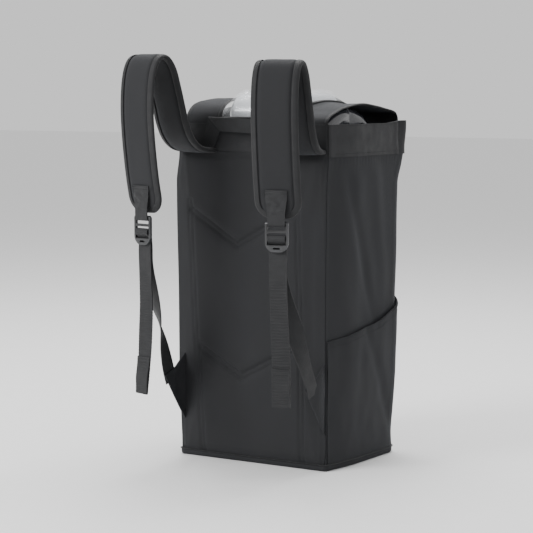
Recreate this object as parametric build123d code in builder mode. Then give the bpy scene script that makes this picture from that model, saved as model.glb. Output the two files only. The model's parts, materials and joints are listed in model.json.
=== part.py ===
"""Portable oxygen concentrator in its carrying backpack.

Millimetres, +Z up.  The origin is the middle of the bag's base, where it stands.
The padded back panel and the shoulder straps face -Y, and the plain front faces +Y.
Every function below whose name ends in "_piece" or "_pieces" writes the sub-parts it is named for.
"""

from build123d import *
from math import cos, radians, sin
import os

# ---------------------------------------------------------------- driving sizes
# Bag: square at the back, rounded at the front, a little wider and deeper at its mouth.
BASE_HALF_WIDTH = 121.0
MOUTH_HALF_WIDTH = 125.0
BACK_Y = -93.0
BASE_FRONT_Y = 93.0
MOUTH_FRONT_Y = 113.0
SEAM_Z = 442.0  # where the collar is sewn to the body
COLLAR_TOP_Z = 484.0
FRONT_RADIUS = 25.0
WALL = 3.0
BASE_THICKNESS = 3.0
BOARD_THICKNESS = 3.0
BACK_FABRIC = 2.0
BACK_FOAM = 12.0
FIT_GAP = 0.3
SHELF_LOW_Z, SHELF_HIGH_Z = 203.0, 211.0

# Shoulder straps: each lies in an upright plane that splays outwards from the back panel.
STRAP_X = 88.0
STRAP_ROOT_Y = -95.0
STRAP_SPLAY = 12.0
STRAP_WIDTH = 65.0
STRAP_THICKNESS = 8.0
STRAP_LINE = [(-14, 446), (28, 448), (54, 480), (80, 582), (114, 582), (121, 520), (118, 455), (102, 361)]
STRAP_BEND_RADII = [30, 80, 20, 18, 150, 200]
WEBBING_WIDTH = 25.0
WEBBING_THICKNESS = 1.6

# Ladder lock: a flat moulded buckle hanging from the strap's short loop.
LOCK_TOP_Z = 356.0
LOCK_LENGTH = 40.0
LOCK_WIDTH = 33.0
LOCK_THICKNESS = 4.0
LOCK_BAR_RADIUS = 2.0
LOCK_BAR_Z = LOCK_TOP_Z - LOCK_BAR_RADIUS
LOCK_OUT = 110.5  # how far out from the back panel its middle lies
LOCK_WINDOW_WIDTH = 26.6
LOCK_BARS = [(0.0, 4.0), (10.4, 14.0), (20.4, 24.4), (30.6, 40.0)]  # depth below its top
TAIL_END_Z = 106.0

# Wings: cloth triangles in the side seams that the strap webbing pulls back.
WING_X = 119.0
WING_TIP = (-141.0, 112.0)  # Y, Z
WING_THICKNESS = 2.0

# Cover over the machine, hinged where it is sewn to the front of the collar.
COVER_HALF_WIDTH = 117.0
COVER_THICKNESS = 2.0
COVER_HINGE = (115.4, 484.7)  # Y, Z
COVER_BACK_Y = -85.5
WINDOW_GAP = 2.4
WINDOW_THICKNESS = 0.8

# Machine.
MACHINE_HALF_WIDTH = 104.0
MACHINE_BACK_Y, MACHINE_FRONT_Y = -77.0, 74.0
MACHINE_LOW_Z, MACHINE_SHOULDER_Z, MACHINE_RIDGE_Z = 214.0, 471.0, 507.0
MACHINE_WALL = 2.5
SPLIT_Y = -1.5
POD_HALF_WIDTH = 60.0
POD_BACK_Y, POD_FRONT_Y = -72.0, 62.0
POD_TOP_Z = 527.0
POD_EDGE_RADIUS = 36.0
POD_WALL = 3.0
BUTTON_Y = -20.0
BUTTON_RADIUS = 6.0
BUTTON_X = {"power": -27.0, "minus": -9.0, "plus": 9.0, "alarm": 27.0}
BUTTON_TRAVEL = 0.8
DISPLAY_SIZE = (40.0, 24.0)
DISPLAY_Y = 7.0
OVERLAY_SIZE = (82.0, 60.0)
OVERLAY_Y = -5.0
OVERLAY_THICKNESS = 0.8

SHAFT_X, SHAFT_Y = 0.0, -37.0  # the compressor's upright shaft
SHAFT_RADIUS = 4.0
RUNNING_GAP = 0.05
FAN_CENTRE = (-91.5, 33.5, 372.0)
FAN_SIZE = 58.0


# ---------------------------------------------------------------- shared helpers
def save(piece, name):
    """Label a finished piece and write it as its own file."""
    piece.part.label = name
    export_step(piece.part, f"parts/{name}.step")


def save_pair(right_piece, name):
    """Write a right-hand piece and its mirror image on the left."""
    save(right_piece, f"right_{name}")
    with BuildPart() as left_piece:
        add(mirror(right_piece.part, about=Plane.YZ, mode=Mode.PRIVATE))
    save(left_piece, f"left_{name}")


def save_both(right_piece, name):
    """Write a right-hand piece together with its mirror image, as one node."""
    with BuildPart() as both_pieces:
        add(right_piece.part)
        mirror(right_piece.part, about=Plane.YZ)
    save(both_pieces, name)


def half_width(height):
    """Half the bag's width at a height."""
    return BASE_HALF_WIDTH + (MOUTH_HALF_WIDTH - BASE_HALF_WIDTH) * height / SEAM_Z


def front_y(height):
    """Where the bag's front face lies at a height."""
    return BASE_FRONT_Y + (MOUTH_FRONT_Y - BASE_FRONT_Y) * height / SEAM_Z


def bag_section(height, inset):
    """Face with the bag's outline at a height."""
    half, back, front = half_width(height) - inset, BACK_Y + inset, front_y(height) - inset
    with BuildSketch(Plane.XY.offset(height)) as outline:
        with Locations((0, (front + back) / 2)):
            Rectangle(2 * half, front - back)
        fillet(outline.vertices().group_by(Axis.Y)[-1], FRONT_RADIUS - inset)
    return outline.sketch.face()


def bag_block(low, high, inset, mode=Mode.ADD):
    """Solid of the bag's outline between two heights."""
    loft([bag_section(low, inset), bag_section(high, inset)], mode=mode)


def bag_wall(low, high, outer_inset, thickness):
    """Tube of the bag's wall between two heights."""
    bag_block(low, high, outer_inset)
    bag_block(low, high, outer_inset + thickness, Mode.SUBTRACT)


def keep_box(low_corner, high_corner):
    """Keep only what lies between two corners."""
    size = [high - low for low, high in zip(low_corner, high_corner)]
    middle = [(high + low) / 2 for low, high in zip(low_corner, high_corner)]
    with Locations(tuple(middle)):
        Box(*size, mode=Mode.INTERSECT)


def block(low_corner, high_corner, mode=Mode.ADD):
    """Rectangular block between two corners."""
    size = [high - low for low, high in zip(low_corner, high_corner)]
    middle = [(high + low) / 2 for low, high in zip(low_corner, high_corner)]
    with Locations(tuple(middle)):
        Box(*size, mode=mode)


def strap_plane(sideways=0.0):
    """Upright plane of the right strap: its x runs out from the back panel and its y is up."""
    splay = radians(STRAP_SPLAY)
    origin = Vector(STRAP_X, STRAP_ROOT_Y, 0) + Vector(cos(splay), sin(splay), 0) * sideways
    return Plane(origin=origin, x_dir=(sin(splay), -cos(splay), 0), z_dir=(-cos(splay), -sin(splay), 0))


def band(plane, points, radii, thickness, width):
    """Flat band of cloth that follows a line in a plane, centred on that plane."""
    with BuildSketch(plane) as side_view:
        with BuildLine() as centre:
            FilletPolyline(*points, radius=radii)
        trace(centre.line, thickness)
    extrude(side_view.sketch, amount=width / 2, both=True)


# ---------------------------------------------------------------- bag body
def back_panel_pieces():
    """Quilted outer fabric of the back and the foam behind it."""
    with BuildPart() as back_panel:
        bag_block(BASE_THICKNESS, SEAM_Z, 0)
        keep_box((-200, BACK_Y, 0), (200, BACK_Y + BACK_FABRIC, SEAM_Z))
    save(back_panel, "back_panel")
    with BuildPart() as back_foam:
        bag_block(BASE_THICKNESS + BOARD_THICKNESS, SEAM_Z, WALL + FIT_GAP)
        foam_low = BACK_Y + WALL + FIT_GAP
        keep_box((-200, foam_low, 0), (200, foam_low + BACK_FOAM, SEAM_Z))
    save(back_foam, "back_foam")


def wall_pieces():
    """Front and side panels, each cut from the bag's wall at the corner seams."""
    seam_x = 92.0
    with BuildPart() as front_panel:
        bag_wall(BASE_THICKNESS, SEAM_Z, 0, WALL)
        keep_box((-seam_x, 0, 0), (seam_x, 200, SEAM_Z))
    save(front_panel, "front_panel")
    with BuildPart() as side_panel:
        bag_wall(BASE_THICKNESS, SEAM_Z, 0, WALL)
        keep_box((seam_x, BACK_Y + BACK_FABRIC, 0), (200, 200, SEAM_Z))
    save_pair(side_panel, "side_panel")


def base_pieces():
    """Base cloth, the stiff board on it and the padded shelf that carries the machine."""
    with BuildPart() as bottom_panel:
        bag_block(0, BASE_THICKNESS, 0)
    save(bottom_panel, "bottom_panel")
    with BuildPart() as base_board:
        bag_block(BASE_THICKNESS, BASE_THICKNESS + BOARD_THICKNESS, WALL + FIT_GAP)
    save(base_board, "base_board")
    with BuildPart() as machine_shelf:
        bag_block(SHELF_LOW_Z, SHELF_HIGH_Z, WALL + 0.2)
        shelf_back = BACK_Y + WALL + FIT_GAP + BACK_FOAM + 0.2
        keep_box((-200, shelf_back, SHELF_LOW_Z), (200, 200, SHELF_HIGH_Z))
    save(machine_shelf, "machine_shelf")


def collar_piece():
    """Stiff webbing collar round the bag's mouth."""
    with BuildPart() as collar_band:
        bag_wall(SEAM_Z, COLLAR_TOP_Z, 0, 2.5)
    save(collar_band, "collar_band")


def pocket_plan(inset):
    """Plan of a side pocket: bowed outwards, running into the bag at both ends."""
    with BuildSketch() as plan:
        with BuildLine():
            bow = ThreePointArc((119, -91 + inset), (135 - inset, 2), (115, 90 - inset))
            Polyline(bow @ 1, (100, 90 - inset), (100, -90 + inset), bow @ 0)
        make_face()
    return plan.sketch


def side_pocket_pieces():
    """Open side pockets whose top edges sweep up towards the front."""
    low, high = 9.0, 250.0
    with BuildPart() as side_pocket:
        with BuildSketch(Plane.XY.offset(low)):
            add(pocket_plan(0))
        extrude(amount=high - low)
        with BuildSketch(Plane.XY.offset(low + 2)):
            add(pocket_plan(2))
        extrude(amount=high - low, mode=Mode.SUBTRACT)
        with BuildSketch(Plane.YZ):
            with BuildLine():
                edge = FilletPolyline((-100, 181), (30, 198), (84, 226), (100, 250), radius=[60, 36])
                Polyline(edge @ 1, (100, 300), (-100, 300), edge @ 0)
            make_face()
        extrude(amount=200, mode=Mode.SUBTRACT)
        bag_block(0, SEAM_Z, 0, Mode.SUBTRACT)
    save_pair(side_pocket, "side_pocket")


def front_plane(height):
    """Plane on the front panel's face: x to the wearer's left, y up the face, z outwards."""
    lean = MOUTH_FRONT_Y - BASE_FRONT_Y
    return Plane(origin=(0, front_y(height), height), x_dir=(-1, 0, 0), z_dir=(0, SEAM_Z, -lean))


POCKET_LOW_Z, POCKET_HIGH_Z = 34.0, 246.0
POCKET_DEPTH = 14.0
ZIP_Z = 232.0
ZIP_HALF_LENGTH = 78.0


def front_pocket_block(inset):
    """Solid of the front pocket, drawn in by an inset on every side but its back."""
    with BuildPart() as body:
        with BuildSketch(front_plane((POCKET_LOW_Z + POCKET_HIGH_Z) / 2)):
            RectangleRounded(176 - 2 * inset, POCKET_HIGH_Z - POCKET_LOW_Z - 2 * inset, 16 - inset)
        extrude(amount=POCKET_DEPTH - inset)
        fillet(body.faces().sort_by(Axis.Y)[-1].edges(), 9 - inset)
    return body.part


def front_pocket_pieces():
    """Accessory pocket on the front, its zip and the zip's slider."""
    outside = front_pocket_block(0)
    inside = front_pocket_block(2)
    with BuildPart() as front_pocket:
        add(outside)
        add(inside, mode=Mode.SUBTRACT)
    save(front_pocket, "front_pocket")

    zip_face = front_plane(ZIP_Z - 12).offset(POCKET_DEPTH)
    with BuildPart() as pocket_zip:
        with BuildSketch(zip_face):
            Rectangle(2 * ZIP_HALF_LENGTH, 16)
        extrude(amount=0.8)
        with BuildSketch(zip_face.offset(0.8)):
            Rectangle(2 * ZIP_HALF_LENGTH - 6, 4)
        extrude(amount=1.2)
    save(pocket_zip, "pocket_zip")

    slider_start = ZIP_HALF_LENGTH - 8
    with BuildPart() as zip_slider:
        with BuildSketch(zip_face.offset(2.3)):
            with Locations((slider_start, 0)):
                RectangleRounded(9, 8, 2)
        extrude(amount=1.6)
        with BuildSketch(zip_face.offset(0.9)):
            with Locations((slider_start, 3.4), (slider_start, -3.4)):
                Rectangle(9, 1.2)
        extrude(amount=3)
        with BuildSketch(zip_face.offset(3.9)):
            with Locations((slider_start, -9)):
                SlotOverall(24, 6, rotation=90)
            with Locations((slider_start, -17)):
                Circle(1.6, mode=Mode.SUBTRACT)
        extrude(amount=1.4)
    save(zip_slider, "zip_slider")


# ---------------------------------------------------------------- straps and handle
def strap_pad_pieces():
    """Padded shoulder straps and the short webbing loops sewn on their lower ends."""
    with BuildPart() as strap_pad:
        with BuildSketch(strap_plane()):
            with BuildLine():
                FilletPolyline(*STRAP_LINE, radius=STRAP_BEND_RADII)
                offset(amount=STRAP_THICKNESS / 2, side=Side.BOTH)
            make_face()
        extrude(amount=STRAP_WIDTH / 2, both=True)
        block((-50, BACK_Y, 400), (250, 60, 640), Mode.SUBTRACT)
    save_pair(strap_pad, "strap_pad")

    reach = LOCK_BAR_RADIUS + FIT_GAP + WEBBING_THICKNESS / 2
    loop_line = [
        (115.6, 408), (LOCK_OUT + reach, 366), (LOCK_OUT + reach, LOCK_BAR_Z - reach),
        (LOCK_OUT - reach, LOCK_BAR_Z - reach), (LOCK_OUT - reach, 360.3),
    ]
    with BuildPart() as buckle_loop:
        band(strap_plane(), loop_line, [40, reach - 0.05, reach - 0.05], WEBBING_THICKNESS, WEBBING_WIDTH)
        add(strap_pad.part, mode=Mode.SUBTRACT)
    save_both(buckle_loop, "buckle_loops")


def ladder_lock_pieces():
    """Ladder locks: a round top bar, two rails, flat cross bars and a rounded tongue to lift."""
    side = strap_plane()
    rear_face = Plane(
        origin=side.from_local_coords((LOCK_OUT - LOCK_THICKNESS / 2, 0, 0)),
        x_dir=-side.z_dir,
        z_dir=side.x_dir,
    )
    frame_high, frame_low = LOCK_BAR_Z, LOCK_TOP_Z - LOCK_LENGTH
    with BuildPart() as ladder_lock:
        with BuildSketch(rear_face) as outline:
            with Locations((0, (frame_high + frame_low) / 2)):
                Rectangle(LOCK_WIDTH, frame_high - frame_low)
            fillet(outline.vertices().group_by(Axis.Y)[0], 13)
            for upper, lower in zip(LOCK_BARS, LOCK_BARS[1:]):
                window_high, window_low = LOCK_TOP_Z - upper[1], LOCK_TOP_Z - lower[0]
                with Locations((0, (window_high + window_low) / 2)):
                    Rectangle(LOCK_WINDOW_WIDTH, window_high - window_low, mode=Mode.SUBTRACT)
            with Locations((0, LOCK_BAR_Z)):
                Rectangle(LOCK_WINDOW_WIDTH, 2 * LOCK_TOP_Z - 2 * LOCK_BAR_Z, mode=Mode.SUBTRACT)
            with Locations((0, frame_low + 5)):
                SlotOverall(10, 2.6, mode=Mode.SUBTRACT)
        extrude(amount=LOCK_THICKNESS)
        with BuildSketch(side):
            with Locations((LOCK_OUT, LOCK_BAR_Z)):
                Circle(LOCK_BAR_RADIUS)
        extrude(amount=LOCK_WIDTH / 2, both=True)
    save_pair(ladder_lock, "ladder_lock")


def adjust_webbing_pieces():
    """Adjusting webbing: up from the wing, over the lock's bar and down as a free tail."""
    out = LOCK_OUT
    half = WEBBING_THICKNESS / 2
    behind = out - LOCK_THICKNESS / 2 - FIT_GAP - half
    before = out + LOCK_THICKNESS / 2 + FIT_GAP + half
    upper = LOCK_TOP_Z - (LOCK_BARS[1][1] + LOCK_BARS[2][0]) / 2
    lower = LOCK_TOP_Z - (LOCK_BARS[2][1] + LOCK_BARS[3][0]) / 2
    load_top = LOCK_TOP_Z - LOCK_LENGTH - 4
    load_out = behind - WEBBING_THICKNESS - 0.4
    wing_end = Vector(WING_X, WING_TIP[0] - 1.2, WING_TIP[1] + 2)
    with BuildPart() as adjust_webbing:
        band(
            strap_plane(),
            [
                (load_out, load_top), (load_out, LOCK_TOP_Z - 30), (behind - 0.2, upper),
                (before, upper), (before, lower), (behind, lower), (behind, 290),
                (out - 6, 200), (out - 1, 148), (out + 3, TAIL_END_Z),
            ],
            [6, 1.2, 1.4, 1.4, 1.2, 60, 60, 60],
            WEBBING_THICKNESS,
            WEBBING_WIDTH,
        )
        lock_end = strap_plane().from_local_coords((load_out, load_top, 0))
        run = wing_end - lock_end
        flat = Vector(run.X, run.Y, 0)
        load_plane = Plane(origin=(lock_end.X, lock_end.Y, 0), x_dir=flat, z_dir=flat.cross(Vector(0, 0, 1)))
        with BuildSketch(load_plane):
            with BuildLine() as load_line:
                Line((0, lock_end.Z), (flat.length, wing_end.Z))
            trace(load_line.line, WEBBING_THICKNESS)
        extrude(amount=WEBBING_WIDTH / 2, both=True)
    save_pair(adjust_webbing, "adjust_webbing")


def wing_pieces():
    """Triangular cloth wings sewn into the back side seams."""
    with BuildPart() as wing:
        with BuildSketch(Plane.YZ.offset(WING_X - WING_THICKNESS / 2)):
            Polygon((BACK_Y, 152), (BACK_Y, 50), WING_TIP, (WING_TIP[0], WING_TIP[1] + 18), align=None)
        extrude(amount=WING_THICKNESS)
    save_both(wing, "wings")


HANDLE_HALF_SPAN = 73.0
HANDLE_WIDTH = 20.0
HANDLE_THICKNESS = 2.0
HANDLE_FOLD_Z, HANDLE_HIGH_Z = 456.0, 494.0
HANDLE_BOW = 12.0


def grab_handle_pieces():
    """Webbing grab handle, bowed away from the collar, and its two sewn-down ends."""
    opening_half = HANDLE_HALF_SPAN - HANDLE_WIDTH
    near = BACK_Y - FIT_GAP
    far = near - HANDLE_THICKNESS
    with BuildPart() as grab_handle:
        with BuildSketch(Plane.XY.offset(HANDLE_FOLD_Z)):
            with BuildLine():
                half = HANDLE_HALF_SPAN
                inner = ThreePointArc((-half, near), (0, near - HANDLE_BOW), (half, near))
                outer = ThreePointArc((-half, far), (0, far - HANDLE_BOW), (half, far))
                Line(inner @ 0, outer @ 0)
                Line(inner @ 1, outer @ 1)
            make_face()
        extrude(amount=HANDLE_HIGH_Z - HANDLE_FOLD_Z)
        block((-opening_half, -200, 0), (opening_half, 0, HANDLE_HIGH_Z - HANDLE_WIDTH), Mode.SUBTRACT)
    save(grab_handle, "grab_handle")
    with BuildPart() as handle_ends:
        with BuildSketch(Plane.XY.offset(HANDLE_FOLD_Z - 1.5)):
            with Locations((HANDLE_HALF_SPAN - HANDLE_WIDTH / 2, BACK_Y - 0.9)):
                Rectangle(HANDLE_WIDTH, 1.8)
            with Locations((HANDLE_WIDTH / 2 - HANDLE_HALF_SPAN, BACK_Y - 0.9)):
                Rectangle(HANDLE_WIDTH, 1.8)
        extrude(amount=-4)
    save(handle_ends, "handle_ends")


# ---------------------------------------------------------------- cover over the machine
def pod_body(grow):
    """Outer shape of the control pod, grown or shrunk all over."""
    low = MACHINE_SHOULDER_Z - 30
    radius = POD_EDGE_RADIUS + grow
    with BuildPart() as body:
        with BuildSketch(Plane.YZ) as profile:
            with Locations(((POD_BACK_Y + POD_FRONT_Y) / 2, (low + POD_TOP_Z + grow) / 2)):
                Rectangle(POD_FRONT_Y - POD_BACK_Y + 2 * grow, POD_TOP_Z + grow - low)
            fillet(profile.vertices().group_by(Axis.Y)[-1], radius)
        extrude(amount=POD_HALF_WIDTH + grow, both=True)
        ends = body.faces().filter_by(Axis.X)
        top_edges = ends.edges().filter_by(lambda edge: edge.center().Z > low + 1)
        fillet(top_edges, 15 + grow)
    return body.part


def cover_line():
    """Line of the cover from its front seam, over the machine and down inside the back."""
    front, low = COVER_HINGE[0] - 1.8, COVER_HINGE[1] + 0.5
    with BuildLine() as line:
        FilletPolyline(
            (front, low), (front - 3, 514), (0, 515.5), (-58, 506), (COVER_BACK_Y, 495), (COVER_BACK_Y, 470),
            radius=[12, 180, 60, 8],
        )
    return line.line


def cover_pieces():
    """Soft cover with its clear window, and the hook and loop tapes that hold it shut."""
    film_outside = pod_body(WINDOW_GAP + WINDOW_THICKNESS)
    film_inside = pod_body(WINDOW_GAP)
    line = cover_line()
    with BuildPart() as top_cover:
        with BuildSketch(Plane.YZ):
            trace(line, COVER_THICKNESS)
        extrude(amount=COVER_HALF_WIDTH, both=True)
        add(film_outside, mode=Mode.SUBTRACT)
    save(top_cover, "top_cover")

    with BuildPart() as cover_window:
        add(film_outside)
        add(film_inside, mode=Mode.SUBTRACT)
        with BuildSketch(Plane.YZ):
            with BuildLine():
                add(line)
                Polyline(line @ 1, (COVER_BACK_Y, 400), ((line @ 0).X, 400), line @ 0)
            make_face()
        extrude(amount=COVER_HALF_WIDTH, both=True, mode=Mode.SUBTRACT)
    save(cover_window, "cover_window")

    cover_face = COVER_BACK_Y - COVER_THICKNESS / 2
    with BuildPart() as hook_tape:
        block((-45, cover_face - 1.8, 471), (45, cover_face, 483))
    save(hook_tape, "hook_tape")
    with BuildPart() as loop_tape:
        block((-45, BACK_Y + 2.5, 470), (45, BACK_Y + 3.8, 483))
    save(loop_tape, "loop_tape")


# ---------------------------------------------------------------- machine housing
def machine_body(inset):
    """Outer shape of the machine: a block with a barrelled top and rounded ends."""
    back, front = MACHINE_BACK_Y + inset, MACHINE_FRONT_Y - inset
    low, shoulder, ridge = MACHINE_LOW_Z + inset, MACHINE_SHOULDER_Z - inset, MACHINE_RIDGE_Z - inset
    with BuildPart() as body:
        with BuildSketch(Plane.YZ) as profile:
            with BuildLine():
                barrel = ThreePointArc((back, shoulder), ((back + front) / 2, ridge), (front, shoulder))
                Polyline(barrel @ 1, (front, low), (back, low), barrel @ 0)
            make_face()
            fillet(profile.vertices().group_by(Axis.Y)[0], 12 - inset)
            fillet(profile.vertices().group_by(Axis.Y)[-1], 24 - inset)
        extrude(amount=MACHINE_HALF_WIDTH - inset, both=True)
        fillet(body.faces().filter_by(Axis.X).edges(), 11 - inset)
    return body.part


BOSS_SPOTS = [(x, z) for x in (-91.0, 91.0) for z in (234.0, 452.0)]
BOSS_RADIUS = 4.6
SCREW_RADIUS = 1.5
SCREW_SEAT_DEPTH = 20.0
BATTERY_LOW, BATTERY_HIGH = (-82.0, 8.0, MACHINE_LOW_Z), (82.0, 60.0, 284.0)
NOZZLE_X, NOZZLE_Y, NOZZLE_SEAT_Z = -78.0, 42.0, 501.0
INLET_Y, INLET_Z, INLET_RADIUS = -44.0, 236.0, 5.5


def split_plane(depth):
    """Plane parallel to the housing split, a depth towards the back of it."""
    return Plane.XZ.offset(depth - SPLIT_Y)


def boss_circles(depth, radius):
    """Sketch of one circle at each screw boss."""
    with BuildSketch(split_plane(depth)) as circles:
        with Locations(*BOSS_SPOTS):
            Circle(radius)
    return circles.sketch


def housing_pieces():
    """Rear and front housing shells, joined by screws through bosses at the split."""
    outside = machine_body(0)
    inside = machine_body(MACHINE_WALL)
    with BuildPart() as rear_housing:
        add(outside)
        add(inside, mode=Mode.SUBTRACT)
        extrude(boss_circles(0, BOSS_RADIUS), amount=SPLIT_Y - MACHINE_BACK_Y)
        add(outside, mode=Mode.INTERSECT)
        keep_box((-200, -200, 0), (200, SPLIT_Y, 600))
        extrude(boss_circles(0, SCREW_RADIUS + 0.2), amount=100, mode=Mode.SUBTRACT)
        extrude(boss_circles(SCREW_SEAT_DEPTH, 3.2), amount=100, mode=Mode.SUBTRACT)
        with BuildSketch(Plane.YZ.offset(-MACHINE_HALF_WIDTH - 2)):
            with Locations((INLET_Y, INLET_Z)):
                Circle(INLET_RADIUS)
        extrude(amount=10, mode=Mode.SUBTRACT)
    save(rear_housing, "rear_housing")

    with BuildPart() as front_housing:
        add(outside)
        add(inside, mode=Mode.SUBTRACT)
        keep_box((-200, SPLIT_Y, 0), (200, 200, 600))
        extrude(boss_circles(0, BOSS_RADIUS), amount=-14)
        for x, z in BOSS_SPOTS:
            wall_x = x + 11 if x > 0 else x - 11
            block((min(x, wall_x), SPLIT_Y, z - 1), (max(x, wall_x), SPLIT_Y + 14, z + 1))
        extrude(boss_circles(0, SCREW_RADIUS), amount=-12, mode=Mode.SUBTRACT)
        low, high = BATTERY_LOW, BATTERY_HIGH
        block((low[0] - 0.4, low[1] - 0.4, 200), (high[0] + 0.4, high[1] + 0.4, 230), Mode.SUBTRACT)
        with BuildSketch(Plane.XZ.offset(-MACHINE_FRONT_Y - 5)):
            with GridLocations(1, 8, 1, 8):
                with Locations((0, 340)):
                    SlotOverall(90, 3.4)
        extrude(amount=20, mode=Mode.SUBTRACT)
        with BuildSketch(Plane.YZ.offset(-MACHINE_HALF_WIDTH - 5)):
            with GridLocations(1, 8, 1, 6):
                with Locations((FAN_CENTRE[1], FAN_CENTRE[2])):
                    SlotOverall(48, 3.4)
        extrude(amount=20, mode=Mode.SUBTRACT)
        with BuildSketch(Plane.XY.offset(NOZZLE_SEAT_Z)):
            with Locations((NOZZLE_X, NOZZLE_Y)):
                Circle(9)
        extrude(amount=-14)
        with BuildSketch(Plane.XY.offset(NOZZLE_SEAT_Z + 5)):
            with Locations((NOZZLE_X, NOZZLE_Y)):
                Circle(4)
        extrude(amount=-30, mode=Mode.SUBTRACT)
    save(front_housing, "front_housing")

    with BuildPart() as housing_screws:
        extrude(boss_circles(SCREW_SEAT_DEPTH, SCREW_RADIUS), amount=-SCREW_SEAT_DEPTH - 11)
        extrude(boss_circles(SCREW_SEAT_DEPTH, 2.9), amount=2.4)
        with BuildSketch(split_plane(SCREW_SEAT_DEPTH + 1)):
            with Locations(*BOSS_SPOTS):
                RegularPolygon(1.4, 6)
        extrude(amount=5, mode=Mode.SUBTRACT)
    save(housing_screws, "housing_screws")


BOARD_Z = POD_TOP_Z - 11.5  # upper face of the board under the keys
SWITCH_HEIGHT = 3.0


def key_circles(height, radius):
    """Sketch of one circle at each key."""
    with BuildSketch(Plane.XY.offset(height)) as circles:
        with Locations(*[(x, BUTTON_Y) for x in BUTTON_X.values()]):
            Circle(radius)
    return circles.sketch


def pod_pieces():
    """Control pod with its membrane overlay, display, keys and the board below them."""
    overlay_low = POD_TOP_Z - OVERLAY_THICKNESS
    outside = pod_body(0)
    inside = pod_body(-POD_WALL)
    machine = machine_body(0)
    with BuildPart() as control_pod:
        add(outside)
        add(inside, mode=Mode.SUBTRACT)
        add(machine, mode=Mode.SUBTRACT)
        with BuildSketch(Plane.XY.offset(overlay_low)):
            with Locations((0, OVERLAY_Y)):
                RectangleRounded(OVERLAY_SIZE[0] + 0.4, OVERLAY_SIZE[1] + 0.4, 6)
        extrude(amount=5, mode=Mode.SUBTRACT)
        with BuildSketch(Plane.XY.offset(POD_TOP_Z - 8)):
            with Locations((0, DISPLAY_Y)):
                Rectangle(DISPLAY_SIZE[0] - 4, DISPLAY_SIZE[1] - 4)
        extrude(amount=12, mode=Mode.SUBTRACT)
        extrude(key_circles(POD_TOP_Z - 8, BUTTON_RADIUS + 0.3), amount=12, mode=Mode.SUBTRACT)
        with BuildSketch(Plane.XY.offset(BOARD_Z)):
            with Locations((0, -5)):
                with GridLocations(76, 50, 2, 2):
                    Circle(2.5)
        extrude(amount=POD_TOP_Z - POD_WALL - BOARD_Z)
    save(control_pod, "control_pod")

    with BuildPart() as control_overlay:
        with BuildSketch(Plane.XY.offset(overlay_low)):
            with Locations((0, OVERLAY_Y)):
                RectangleRounded(*OVERLAY_SIZE, 5.8)
            with Locations((0, DISPLAY_Y)):
                Rectangle(DISPLAY_SIZE[0] + 0.2, DISPLAY_SIZE[1] + 0.2, mode=Mode.SUBTRACT)
        extrude(amount=OVERLAY_THICKNESS)
        extrude(key_circles(overlay_low, BUTTON_RADIUS + 0.3), amount=2, mode=Mode.SUBTRACT)
    save(control_overlay, "control_overlay")

    with BuildPart() as display_window:
        with BuildSketch(Plane.XY.offset(overlay_low)):
            with Locations((0, DISPLAY_Y)):
                Rectangle(*DISPLAY_SIZE)
        extrude(amount=OVERLAY_THICKNESS + 0.2)
    save(display_window, "display_window")

    with BuildPart() as interface_board:
        block((-42, -35, BOARD_Z - 1.6), (42, 25, BOARD_Z))
        with BuildSketch(Plane.XY.offset(BOARD_Z)):
            with Locations(*[(x, BUTTON_Y) for x in BUTTON_X.values()]):
                Rectangle(6, 6)
        extrude(amount=SWITCH_HEIGHT)
        with BuildSketch(Plane.XY.offset(BOARD_Z)):
            with Locations((30, 6)):
                Circle(6)
        extrude(amount=5)
    save(interface_board, "interface_board")

    with BuildPart() as display_module:
        block((-20, DISPLAY_Y - 12, BOARD_Z), (20, DISPLAY_Y + 12, POD_TOP_Z - POD_WALL - 0.2))
    save(display_module, "display_module")

    button_low = BOARD_Z + SWITCH_HEIGHT + BUTTON_TRAVEL + 0.1
    for key, x in BUTTON_X.items():
        with BuildPart() as button:
            with BuildSketch(Plane.XY.offset(button_low)):
                with Locations((x, BUTTON_Y)):
                    Circle(BUTTON_RADIUS)
            extrude(amount=POD_TOP_Z + 1.5 - button_low)
            fillet(button.faces().sort_by(Axis.Z)[-1].edges(), 0.9)
            with BuildSketch(Plane.XY.offset(POD_TOP_Z - POD_WALL - 1.5)):
                with Locations((x, BUTTON_Y)):
                    Circle(BUTTON_RADIUS + 1.2)
            extrude(amount=1.2)
        save(button, f"{key}_button")


def port_pieces():
    """Barbed oxygen outlet on the top, and the power inlet low on the left side."""
    seat = NOZZLE_SEAT_Z
    with BuildPart() as outlet_nozzle:
        with BuildSketch(Plane.XZ):
            with BuildLine():
                Polyline(
                    (1.5, seat - 14), (4, seat - 14), (4, seat), (7.5, seat), (7.5, seat + 2),
                    (2.6, seat + 2), (2.6, seat + 4), (3.4, seat + 4), (2.6, seat + 6.5), (3.4, seat + 6.5),
                    (2.4, seat + 9.5), (1.5, seat + 9.5), close=True,
                )
            make_face()
        revolve(axis=Axis.Z)
    outlet_nozzle.part.position = (NOZZLE_X, NOZZLE_Y, 0)
    save(outlet_nozzle, "outlet_nozzle")

    with BuildPart() as power_inlet:
        with BuildSketch(Plane.YZ.offset(-MACHINE_HALF_WIDTH - 0.6)):
            with Locations((INLET_Y, INLET_Z)):
                Circle(INLET_RADIUS)
                Circle(3, mode=Mode.SUBTRACT)
        extrude(amount=6)
        with BuildSketch(Plane.YZ.offset(-MACHINE_HALF_WIDTH + 5.4)):
            with Locations((INLET_Y, INLET_Z)):
                Circle(INLET_RADIUS)
        extrude(amount=1.6)
        with BuildSketch(Plane.YZ.offset(-MACHINE_HALF_WIDTH + 1)):
            with Locations((INLET_Y, INLET_Z)):
                Circle(0.9)
        extrude(amount=5)
    save(power_inlet, "power_inlet")


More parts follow.
